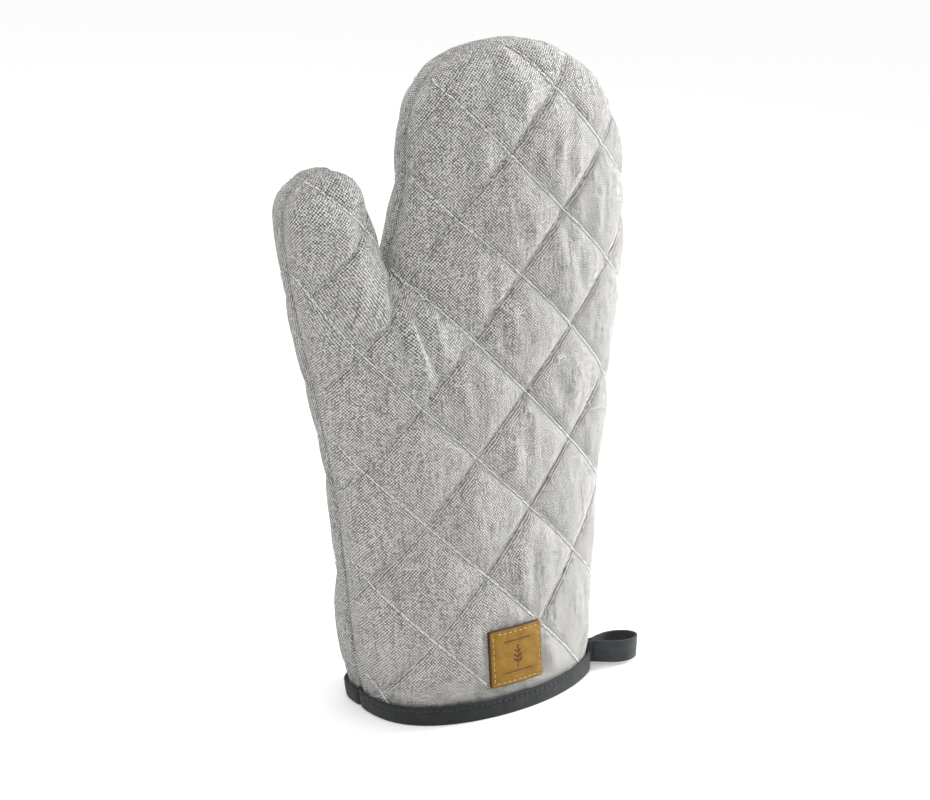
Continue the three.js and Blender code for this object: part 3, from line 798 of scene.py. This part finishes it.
# %% [markdown]
# ## The bound cuff
# A strip of twill is folded over the raw edge and caught by one sewn line near its top, which
# presses a shallow groove and puckers the tape a little between stitches.

# %% Binding
COUNT = 420
SECTION = [  # out of the cloth, height, for the tape folded round the edge
    (1.45, 0.0), (1.95, 0.5), (2.1, 1.6), (2.15, 3.6), (2.1, 5.6), (1.95, 6.9),
    (1.62, 7.7), (1.9, 8.5), (1.85, 9.3), (1.45, 9.9), (0.8, 10.0), (0.35, 9.6),
    (0.15, 8.0), (0.1, 1.6), (-2.6, 1.6), (-2.7, 9.4), (-3.1, 9.9), (-3.7, 9.9),
    (-4.1, 9.4), (-4.3, 7.7), (-4.4, 5.0), (-4.3, 1.5), (-3.9, 0.3), (-3.2, 0.0)]
SEWN = 7.7  # height of the sewn line in the binding
low_ring, along = cuff_loop(0.0, COUNT)
top_ring, _ = cuff_loop(BINDING_HEIGHT, COUNT)
forward = np.roll(low_ring, -1, axis=0) - np.roll(low_ring, 1, axis=0)
forward /= np.linalg.norm(forward, axis=1)[:, None]
outward = np.column_stack([forward[:, 1], -forward[:, 0]])
tape_wave = 0.16 * noise(along / 7, along * 0, 41) + 0.08 * noise(along / 2.2, along * 0, 42)
pucker = 0.16 * np.cos(along / 3.3 * 2 * math.pi)
binding_points, binding_cloth, run = [], [], 0.0
for k, (out, z) in enumerate(SECTION):
    share = z / BINDING_HEIGHT
    ring = low_ring * (1 - share) + top_ring * share
    pressed_in = pucker * math.exp(-((z - SEWN) / 1.1) ** 2) * (out > 1)
    grow = out + tape_wave * min(1, z / 4) - pressed_in
    high = z + (0.22 * noise(along / 11, along * 0, 43) if z > 6 else 0 * along)
    binding_points.append(np.column_stack([ring + outward * grow[:, None], high]))
    if k:
        run += math.dist(SECTION[k - 1], SECTION[k])
    binding_cloth.append(np.column_stack([along, np.full(COUNT, run)]))
binding = sweep("cuff_edge", binding_points, binding_cloth, True)
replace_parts(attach(binding, "mitt"), "cuff_binding")
print("the cuff is", round(along[-1]), "mm round")

# %% Binding stitches
groove = SEWN / BINDING_HEIGHT
line = (low_ring * (1 - groove) + top_ring * groove) + outward * (1.66 + tape_wave)[:, None]
line3 = np.column_stack([line, np.full(COUNT, SEWN)])
edge_thread = stitch_mesh("edge_stitches", [(line3, np.column_stack([outward, 0 * along]))],
                          length=2.5, gap=0.8, thick=0.27, sink=0.4, seed=9)
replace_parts(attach(edge_thread, "mitt"), "binding_stitching")

# %% [markdown]
# ## The seam allowance
# Inside, the two panels' raw edges are pressed together and oversewn. The ridge follows the
# seam all the way round, and the overlock thread gives it small regular swellings.

# %% Seam allowance inside
CORD_STEP, CORD_SIDES = 2.0, 10
rim, inward = rim_with_normals(CORD_STEP)
keep = rim[:, 1] > BINDING_HEIGHT + 3
rim, inward = rim[keep], inward[keep]
ends = middle_of(np.zeros(len(rim)), rim[:, 0], rim[:, 1])
sections = []
for a in np.arange(CORD_SIDES) * math.pi / 5:
    reach = 7.7 + 4.0 * math.cos(a)
    thick = 1.3 * math.sin(a) + 0.25 * np.cos(np.arange(len(rim)) * 2.4) * math.sin(a)
    sections.append(np.column_stack([rim[:, 0] + inward[:, 0] * reach, ends + thick,
                                     rim[:, 1] + inward[:, 1] * reach]))
run = np.arange(len(rim)) * CORD_STEP
cord_cloth = [np.column_stack([run, np.full(len(rim), a * 1.2)]) for a in range(CORD_SIDES)]
cord = sweep("oversewn_edge", sections, cord_cloth, False)
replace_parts(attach(cord, "mitt"), "seam_overlock")

# %% [markdown]
# ## The hanging loop
# A length of twill tape stands on its edge, doubled round a finger's width. It is sewn into
# the binding at the side seam by its root.

# %% Loop
LOOP_REACH, LOOP_OPEN, LOOP_TAPE = 26, 12.5, 1.2
TAPE_STEP = 0.8
w = LOOP_OPEN / 2
STATIONS = [  # share of the reach, sideways, round the loop from one end to the other
    (-0.16, -0.8), (0, -1), (0.07, -1.2), (0.24, -0.55 * w), (0.5, -w), (0.77, -0.95 * w),
    (0.95, -0.5 * w), (1, 0.05 * w), (0.93, 0.5 * w), (0.72, 0.9 * w), (0.46, 0.9 * w),
    (0.24, 0.55 * w), (0.07, 1.2), (0, 1), (-0.16, 0.8)]
low_z, high_z = (1000 * c.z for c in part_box("hang_loop"))
root = np.array([cuff_right + 4.3, seam_y(cuff_right, 0.0) - 1.5])
swing = math.radians(-14)
turned = np.array([[math.cos(swing), math.sin(swing)], [-math.sin(swing), math.cos(swing)]])
knots = np.array([(s * LOOP_REACH, y) for s, y in STATIONS]) @ turned + root


def through(knots, step):
    """A smooth curve through knots (centripetal Catmull-Rom), evenly spaced."""
    ends = np.r_[[2 * knots[0] - knots[1]], knots, [2 * knots[-1] - knots[-2]]]
    out = []
    for p in (ends[i : i + 4] for i in range(len(ends) - 3)):
        t = np.r_[0, np.cumsum(np.sqrt(np.linalg.norm(np.diff(p, axis=0), axis=1)))]
        s = np.linspace(t[1], t[2], 30, endpoint=False)[:, None]
        mix = lambda a, b, i, j: ((t[j] - s) * a + (s - t[i]) * b) / (t[j] - t[i])
        a, b, c = mix(p[0], p[1], 0, 1), mix(p[1], p[2], 1, 2), mix(p[2], p[3], 2, 3)
        out.append(mix(mix(a, b, 0, 2), mix(b, c, 1, 3), 1, 2))
    return evenly(np.concatenate([*out, [knots[-1]]]), step)


path = through(knots, TAPE_STEP)
along = np.arange(len(path)) * TAPE_STEP
t = np.gradient(path, axis=0)
t /= np.linalg.norm(t, axis=1)[:, None]
sideways = np.column_stack([t[:, 1], -t[:, 0]])
tall = high_z - low_z
PROFILE = [  # out of the tape's middle, height, round the tape's section
    (-0.35, 0.0), (0.35, 0.0), (0.58, 0.25), (0.6, 0.8), (0.55, 2.0), (0.58, 4), (0.6, 6),
    (0.58, 8), (0.55, 10.0), (0.6, 11.2), (0.58, 11.75), (0.35, 12.0), (-0.35, 12.0),
    (-0.58, 11.75), (-0.6, 11.2), (-0.55, 10.0), (-0.6, 8), (-0.58, 6), (-0.6, 4),
    (-0.55, 2.0), (-0.6, 0.8), (-0.58, 0.25)]
loop_points, loop_cloth = [], []
bow = 0.35 * noise(along / 13, along * 0, 51)
for k, (out, z) in enumerate(PROFILE):
    lift = 0.3 * noise(along / 16, along * 0, 52)
    tilt = (z / 12 - 0.5) * 0.7 * noise(along / 18, along * 0, 53) + bow * (1 - (z / 6 - 1) ** 2)
    left = along[-1] - along
    ground = low_z + tall * z / 12 + lift * smooth(along / 12) * smooth(left / 12)
    offset = LOOP_TAPE / 2 + out + tilt * smooth(along / 10) * smooth(left / 10)
    loop_points.append(np.column_stack([path + sideways * offset[:, None], ground]))
    loop_cloth.append(np.column_stack([along, np.full(len(path), z + (15 if k > 11 else 0))]))
loop = sweep("tape_loop", loop_points, loop_cloth, False)
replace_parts(loop, "hang_loop")
START = placed([root[0] - 2.5, root[1], 8])
END = placed([root[0] + 2.5, root[1] - 0.6, 8])
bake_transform(loop)
print("loop tape", round(along[-1]), "mm long")

# %% [markdown]
# ## The bar at the loop's root
# Short stitches, packed one above the next, hold the two ends of the tape together. They sit
# on the loop's own body, so they swing with it.

# %% Bar of stitches that closes the loop
bar_runs = []
for z in np.arange(low_z + 2, high_z - 1.5, 0.62):
    here = slice(6, 12)
    spot = path[here] + sideways[here] * (LOOP_TAPE + 0.12)
    bar_runs.append((np.column_stack([spot, np.full(len(spot), z)]),
                     np.column_stack([sideways[here], np.zeros(len(spot))])))
bar = stitch_mesh("bar_stitches", bar_runs, length=2.2, gap=0.2, thick=0.26, sink=0.25, seed=12)
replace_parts(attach(bar, "loop"), "loop_bartack")

# %% [markdown]
# ## The leather patch
# A small square of veg-tanned leather is sewn low on the front. Its corners are rounded, its
# edges are burnished dark, and a plain sprig and two rules are pressed into its face.

# %% Patch
SIDE = 150  # points along each side
BORDER = 2.0  # the sewn line's distance from the edge
wide, tall = PATCH_HIGH[0] - PATCH_LOW[0], PATCH_HIGH[2] - PATCH_LOW[2]
centre = (PATCH_LOW + PATCH_HIGH) / 2
CORNER = 1.3


def rounded_square(a, b):
    """Grid shares from -1 to 1 to millimetres, with the corners bent round."""
    x, z = a * wide / 2, b * tall / 2
    dx, dz = abs(x) - (wide / 2 - CORNER), abs(z) - (tall / 2 - CORNER)
    corner = (dx > 0) & (dz > 0)
    r = np.maximum(dx, dz)
    bend = np.where(corner, r / np.maximum(np.hypot(dx, dz), 1e-9), 1)
    return (np.sign(x) * np.where(corner, wide / 2 - CORNER + dx * bend, abs(x)),
            np.sign(z) * np.where(corner, tall / 2 - CORNER + dz * bend, abs(z)))


def from_edge(x, z):
    dx, dz = wide / 2 - abs(x), tall / 2 - abs(z)
    corner = (dx < CORNER) & (dz < CORNER)
    return np.where(corner, CORNER - np.hypot(CORNER - dx, CORNER - dz), np.minimum(dx, dz))


def on_front(x, z, step=0.5):
    """Points on the smooth front panel, and its normals there."""
    at = lambda x, z: np.column_stack([x, surface(-1, x, z), z])
    here = at(x, z)
    out = np.cross(at(x + step, z) - here, at(x, z + step) - here)
    return here, out / np.linalg.norm(out, axis=1)[:, None]


def pressed(x, z):
    """0 on the plain face, 1 where the stamp pressed in: a leafy sprig between two rules."""
    line = np.minimum(to_segment(x, z, -7.5, 8.0, 7.5, 8.0)[0],
                      to_segment(x, z, -7.5, -8.0, 7.5, -8.0)[0])
    mark = 1 - smooth((line - 0.22) / 0.25)
    stem = 1 - smooth((to_segment(x, z, -0.3, -5.6, 0.4, 3.4)[0] - 0.2) / 0.25)
    mark = np.maximum(mark, stem)
    for base, spread, size in ((-3.6, 50, 3.4), (-1.2, 48, 3.2), (1.2, 42, 2.8), (3.2, 0, 2.6)):
        for way in (-1, 1) if spread else (1,):
            a = math.radians(90 - way * spread)
            lx = (x * math.cos(a) + (z - base) * math.sin(a)) / size
            lz = (-x * math.sin(a) + (z - base) * math.cos(a)) / size
            leaf = abs(lz) - 0.62 * (lx - lx**2) * 1.15
            mark = np.maximum(mark, (1 - smooth((leaf * size + 0.05) / 0.3)) * (lx > 0) * (lx < 1))
    return mark


a, b = np.meshgrid(np.linspace(-1, 1, SIDE), np.linspace(-1, 1, SIDE))
px, pz = rounded_square(a.ravel(), b.ravel())
edge = from_edge(px, pz)
mark = pressed(px, pz)
here, out = on_front(px + centre[0], pz + centre[2])
stitched = 0.3 * np.exp(-(((edge - BORDER) / 0.55) ** 2))
face = 2.35 - 0.75 * (1 - smooth(edge / 0.9)) ** 2 - 0.3 * mark - stitched
face += 0.12 * noise(px / 6, pz / 6, 61) - 0.35 * (1 - smooth(edge / 4)) * 0.3
faces = [[r * SIDE + c, r * SIDE + c + 1, (r + 1) * SIDE + c + 1, (r + 1) * SIDE + c]
         for r in range(SIDE - 1) for c in range(SIDE - 1)]
shell, faces = thickened(here + out * face[:, None], faces, out, face - 0.25)
patch = add_mesh("patch", shell, faces, {
    "cloth": np.tile(np.column_stack([px, pz]), (2, 1)),
    "pressed": np.tile(mark, 2),
    "border": np.r_[edge, 0 * edge]})
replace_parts(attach(patch, "mitt"), "leather_patch")
print("patch", round(wide, 1), "x", round(tall, 1), "mm,", len(shell), "points")

# %% [markdown]
# ## The patch's border
# One row of heavier tan thread runs 2 mm inside the edge, with a shallow channel under it.

# %% Patch stitches
reach = np.array([wide, tall]) / 2 - BORDER
corners = np.array([(-1, -1), (1, -1), (1, 1), (-1, 1)]) * reach
runs = []
for (ax, az), (bx, bz) in zip(corners, np.roll(corners, -1, axis=0)):
    s = np.linspace(0.01, 0.99, 60)
    spot, up = on_front(ax + (bx - ax) * s + centre[0], az + (bz - az) * s + centre[2])
    runs.append((spot + up * 2.08, up))
patch_thread = stitch_mesh("patch_stitches", runs, length=2.3, gap=0.8, thick=0.3,
                           sink=0.5, seed=15)
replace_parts(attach(patch_thread, "mitt"), "patch_stitching")

# %% [markdown]
# ## Materials
# Every finish is worked out from the cloth coordinates of its own piece, in millimetres, so
# a weave follows the swollen cloth the way real yarns do. One class lets the materials be
# written as sums; another makes the nodes.


# %% Node helpers
class Value:
    """A node's output. Sums with it add the Math nodes."""

    def __init__(self, look, socket):
        self.look, self.socket = look, socket

    def math(self, kind, *others):
        return self.look.node("ShaderNodeMath", {"operation": kind}, [self, *others])

    def __add__(self, other):
        return self.math("ADD", other)

    __radd__ = __add__

    def __mul__(self, other):
        return self.math("MULTIPLY", other)

    __rmul__ = __mul__

    def __sub__(self, other):
        return self.math("SUBTRACT", other)

    def __rsub__(self, other):
        return self.look.node("ShaderNodeMath", {"operation": "SUBTRACT"}, [other, self])

    def __truediv__(self, other):
        return self.math("DIVIDE", other)

    def held(self):
        """Kept between 0 and 1."""
        return self.math("MINIMUM", 1.0).math("MAXIMUM", 0.0)


class Look:
    """One material: its nodes, and the Principled surface that they feed."""

    def __init__(self, name, **constants):
        self.material = bpy.data.materials.new(name)
        self.material.use_nodes = True
        self.nodes, self.links = self.material.node_tree.nodes, self.material.node_tree.links
        self.surface = self.nodes["Principled BSDF"]
        for key, value in constants.items():
            self.surface.inputs[key.replace("_", " ")].default_value = value

    def wire(self, target, value):
        if isinstance(value, Value):
            self.links.new(value.socket, target)
        elif value is not None:
            target.default_value = value

    def node(self, kind, settings=None, sockets=(), output=0):
        """Any node: its settings first, then its sockets, as a list in order or as a dict."""
        made = self.nodes.new(kind)
        for key, value in (settings or {}).items():
            setattr(made, key, value)
        pairs = sockets.items() if isinstance(sockets, dict) else enumerate(sockets)
        for key, value in pairs:
            self.wire(made.inputs[key], value)
        return Value(self, made.outputs[output])

    def mix(self, share, a, b):
        """Colour a where share is 0 and b where it is 1."""
        return self.node("ShaderNodeMix", {"data_type": "RGBA"}, {0: share, 6: a, 7: b}, 2)

    def attribute(self, name):
        return self.node("ShaderNodeAttribute", {"attribute_name": name}, output="Fac")

    def cloth(self):
        """The two cloth coordinates, in millimetres."""
        along = self.node("ShaderNodeAttribute", {"attribute_name": "cloth"}, output="Vector")
        parts = self.node("ShaderNodeSeparateXYZ", None, [along])
        return parts, Value(self, parts.socket.node.outputs[1])

    def point(self, x, y):
        return self.node("ShaderNodeCombineXYZ", None, [x, y])

    def noise(self, where, detail=2.0):
        """Smooth noise of 0 to 1, one wave per unit of where."""
        return self.node("ShaderNodeTexNoise", {"noise_dimensions": "2D"},
                         {"Vector": where, "Scale": 1.0, "Detail": detail})

    def random(self, where):
        return self.node("ShaderNodeTexWhiteNoise", {"noise_dimensions": "2D"}, {"Vector": where})

    def bump(self, height, distance):
        made = self.node("ShaderNodeBump", None,
                         {"Strength": 1.0, "Distance": distance, "Height": height})
        self.wire(self.surface.inputs["Normal"], made)

    def colour(self, value):
        self.wire(self.surface.inputs["Base Color"], value)

    def on(self, *pieces):
        for piece in pieces:
            piece.data.materials.clear()
            piece.data.materials.append(self.material)


def grey(value):
    return (value, value, value, 1.0)


# %% [markdown]
# ### Heathered linen
# Pale and dark yarns cross one over, one under. Flax yarns are uneven: each one keeps its
# own shade for a while, then turns thicker or thinner. So a random shade is drawn per
# crossing, a slower noise runs along each yarn, and long streaks follow the upright yarns.
# Folds and creases are darkened a little with painted shade, read from the relief.


# %% Linen
def plain_weave(look, u, v, pitch, wander):
    """Which yarn is on top, its shade and its height, for a one-over-one-under weave."""
    warp = (u + (look.noise(look.point(v * 0.35, u * 0.08)) - 0.5) * wander) / pitch
    weft = (v + (look.noise(look.point(u * 0.35 + 40.0, v * 0.08)) - 0.5) * wander) / pitch
    i, j = warp.math("FLOOR"), weft.math("FLOOR")
    over = (i + j).math("PINGPONG", 1.0)
    across = ((warp - i) * math.pi).math("SINE")
    along = ((weft - j) * math.pi).math("SINE")
    height = look.node("ShaderNodeMix", None, {
        0: over, 2: along * (across * 0.5 + 0.5), 3: across * (along * 0.5 + 0.5)})
    slub_i = look.noise(look.point(i * 3.7, v * 0.16), 3.0)
    slub_j = look.noise(look.point(j * 3.7 + 31.0, u * 0.16), 3.0)
    slub = look.node("ShaderNodeMix", None, {0: over, 2: slub_j, 3: slub_i})
    return over, i, j, slub, height


def linen(name, dark, pale, pitch=0.8):
    look = Look(name, Roughness=0.92, Specular_IOR_Level=0.25,
                Sheen_Weight=0.25, Sheen_Roughness=0.5)
    u, v = look.cloth()
    over, i, j, slub, height = plain_weave(look, u, v, pitch, 1.1)
    crossing = look.random(look.point(i, j))
    fleck = look.random(look.point((u * 2.4).math("FLOOR"), (v * 2.4).math("FLOOR")))
    patchy = look.noise(look.point(u * 0.11, v * 0.05), 3.0)
    streak = look.noise(look.point(u * 0.9, v * 0.035), 3.0)
    # Painted shade: the cloth is darkened where its relief sinks into folds and sewn creases.
    painted_crease_shade = ((look.attribute("relief") * -1.0 + 0.6) / 3.0).held()
    shade = (slub - 0.5) * 1.1 + (crossing - 0.5) * 0.75 + (fleck - 0.5) * 0.3 + (over - 0.5) * 0.9
    # Painted shade on the yarns too: lighter on their crowns and darker where they dip between
    # neighbours.
    shade = shade + (streak - 0.5) * 0.7 + (patchy - 0.5) * 0.2 + (height - 0.5) * 0.4
    shade = shade + 0.43 - painted_crease_shade * 0.22
    look.colour(look.mix(shade.held(), dark, pale))
    fuzz = look.noise(look.point(u * 3.0, v * 3.0), 2.0)
    look.bump(height * (slub + 0.5) + fuzz * 0.25, 0.0003)
    return look


LINEN = linen("heathered_linen", (0.085, 0.083, 0.079, 1), (0.80, 0.785, 0.75, 1))
LINEN.on(PANELS[-1]["object"], PANELS[1]["object"])
print("linen:", len(LINEN.nodes), "nodes")

# %% [markdown]
# ### Lining cotton
# The same weave in off-white and finer yarn, with far less contrast between its yarns.

# %% Lining cotton
LINING = linen("lining_cotton", (0.55, 0.53, 0.49, 1), (0.76, 0.74, 0.70, 1), pitch=0.5)
LINING.on(PANELS["front lining"], PANELS["back lining"], cord)
print("lining:", len(LINING.nodes), "nodes")

# %% [markdown]
# ### Charcoal tape
# Binding and loop are a tight cotton twill: fine ribs that climb at 45 degrees, with pale
# lint caught in them. Only the rib spacing and the shade differ between the two.


# %% Twill tapes
def twill(name, colour, pitch=0.62):
    look = Look(name, Roughness=0.85, Specular_IOR_Level=0.3,
                Sheen_Weight=0.15, Sheen_Roughness=0.4)
    u, v = look.cloth()
    wander = look.noise(look.point(u * 0.4, v * 0.4)) - 0.5
    rib = (((u + v) / pitch + wander) * (2 * math.pi)).math("SINE")
    lint = look.noise(look.point(u * 1.9, v * 1.9), 4.0)
    worn = look.noise(look.point(u * 0.12, v * 0.2), 2.0)
    # Painted shade on the ribs: the colour follows each rib's height, lighter on its crest and
    # darker in its groove.
    shade = rib * 0.16 + (lint - 0.5) * 0.9 + (worn - 0.5) * 0.5 + 0.45
    dark, pale = (tuple(c * k for c in colour) + (1.0,) for k in (0.6, 1.75))
    look.colour(look.mix(shade.held(), dark, pale))
    look.bump(rib * 0.5 + lint, 0.00012)
    return look


BINDING = twill("charcoal_binding", (0.0225, 0.0255, 0.0265))
BINDING.on(binding)
TAPE = twill("charcoal_tape", (0.040, 0.044, 0.047), 0.8)
TAPE.on(loop)

print("twill:", len(TAPE.nodes), "nodes")

# %% [markdown]
# ### Threads
# Two plies twisted together: a slanting stripe of light and shade along the thread.


# %% Threads
def thread(name, colour):
    look = Look(name, Roughness=0.6, Specular_IOR_Level=0.35)
    u, v = look.cloth()
    ply = ((u / 0.5 + v) * math.pi).math("SINE")
    dark, pale = (tuple(c * k for c in colour) + (1.0,) for k in (0.72, 1.12))
    look.colour(look.mix(ply * 0.5 + 0.5, dark, pale))
    look.bump(ply, 0.00008)
    return look


PALE = thread("pale_thread", (0.93, 0.92, 0.89))
PALE.on(*PANELS["stitches"])
DARK = thread("charcoal_thread", (0.06, 0.065, 0.07))
DARK.on(edge_thread, bar)
TAN = thread("tan_thread", (0.62, 0.42, 0.16))
TAN.on(patch_thread)
print("threads done")

# %% [markdown]
# ### Leather
# Veg-tanned leather has a fine pebble of pores, soft cloudy patches where it took the dye
# unevenly, a darker burnished edge, and darker ground wherever a stamp pressed it in.

# %% Leather look
LEATHER = Look("tan_leather", Roughness=0.55, Specular_IOR_Level=0.25)
u, v = LEATHER.cloth()
pores = LEATHER.node("ShaderNodeTexVoronoi", {"voronoi_dimensions": "2D"},
                     {"Vector": LEATHER.point(u, v), "Scale": 2.6})
grain = LEATHER.noise(LEATHER.point(u * 1.3, v * 1.3), 5.0)
cloud = LEATHER.noise(LEATHER.point(u * 0.16, v * 0.16), 3.0)
rim_shade = (LEATHER.attribute("border") / 0.9).math("MINIMUM", 1.0)
dye = (cloud - 0.5) * 1.3 + (grain - 0.5) * 0.9 + 0.5
face_colour = LEATHER.mix(dye, (0.19, 0.092, 0.008, 1), (0.36, 0.195, 0.024, 1))
stamped = LEATHER.mix(LEATHER.attribute("pressed") * 0.72, face_colour, (0.075, 0.033, 0.008, 1))
LEATHER.colour(LEATHER.mix(rim_shade, (0.06, 0.028, 0.008, 1), stamped))
LEATHER.wire(LEATHER.surface.inputs["Roughness"], grain * 0.25 + 0.42)
LEATHER.bump(pores * 0.6 + grain, 0.00016)
LEATHER.on(patch)
print("leather:", len(LEATHER.nodes), "nodes")

# %% [markdown]
# ## Stage, light and camera
# The mitt stands on a pale floor in a bright tent. A very soft sun overhead gives the shadow
# where the cuff meets the floor. A panel on the right rakes across the quilting, and a weak
# one high on the left keeps the thumb from going dull.

# %% Floor
floor_mesh = bpy.data.meshes.new("floor")
FAR = 30  # metres to the floor's edge, so that it fills the view from low down too
floor_mesh.from_pydata([(-FAR, -FAR, 0), (FAR, -FAR, 0), (FAR, FAR, 0), (-FAR, FAR, 0)],
                       [], [(0, 1, 2, 3)])
floor = bpy.data.objects.new("floor", floor_mesh)
bpy.context.collection.objects.link(floor)
FLOOR = Look("pale_floor", Base_Color=grey(0.93), Roughness=0.6, Specular_IOR_Level=0.2,
             Emission_Color=grey(1.0), Emission_Strength=0.11)
FLOOR.on(floor)
print("floor", 2 * FAR, "m square")


# %% Lights
def light_panel(name, place, aim, size, power):
    data = bpy.data.lights.new(name, "AREA")
    data.shape, data.size, data.size_y, data.energy = "RECTANGLE", size[0], size[1], power
    lamp = bpy.data.objects.new(name, data)
    lamp.location = place
    lamp.rotation_euler = (Vector(aim) - Vector(place)).to_track_quat("-Z", "Y").to_euler()
    bpy.context.collection.objects.link(lamp)


AIM = (0.0, 0.0, HEIGHT / 2000)
light_panel("right", (1.5, -0.18, 0.45), AIM, (0.5, 0.7), 39)
light_panel("top left", (-0.55, -0.4, 1.35), AIM, (0.6, 0.6), 5)
sun = bpy.data.lights.new("soft_top", "SUN")
sun.energy, sun.angle = 2.05, math.radians(80)
overhead = bpy.data.objects.new("soft_top", sun)
bpy.context.collection.objects.link(overhead)
world = bpy.data.worlds.new("tent")
world.use_nodes = True
world.node_tree.nodes["Background"].inputs["Color"].default_value = (1, 1, 1, 1)
world.node_tree.nodes["Background"].inputs["Strength"].default_value = 0.33
bpy.context.scene.world = world
bpy.context.scene.view_settings.view_transform = "Standard"
print("two panels, a soft sun and a bright tent")

# %% [markdown]
# ## Camera
# It stands a little above the fingertips, well to the thumb's side, and looks down slightly,
# so the cuff's opening is hidden and the patch and loop both show.

# %% Camera
camera_data = bpy.data.cameras.new("camera")
camera_data.lens = 72.1
camera_data.sensor_width = 36.0
camera = bpy.data.objects.new("camera", camera_data)
bpy.context.collection.objects.link(camera)
camera.location = placed([-497.0, -749.1, 416.0])
turn_right, tip_down = math.radians(33.5), math.radians(16.4)
looking = Vector((math.sin(turn_right) * math.cos(tip_down),
                  math.cos(turn_right) * math.cos(tip_down), -math.sin(tip_down)))
camera.rotation_euler = looking.to_track_quat("-Z", "Y").to_euler()
bpy.context.scene.camera = camera
print("camera", [round(c, 3) for c in camera.location])
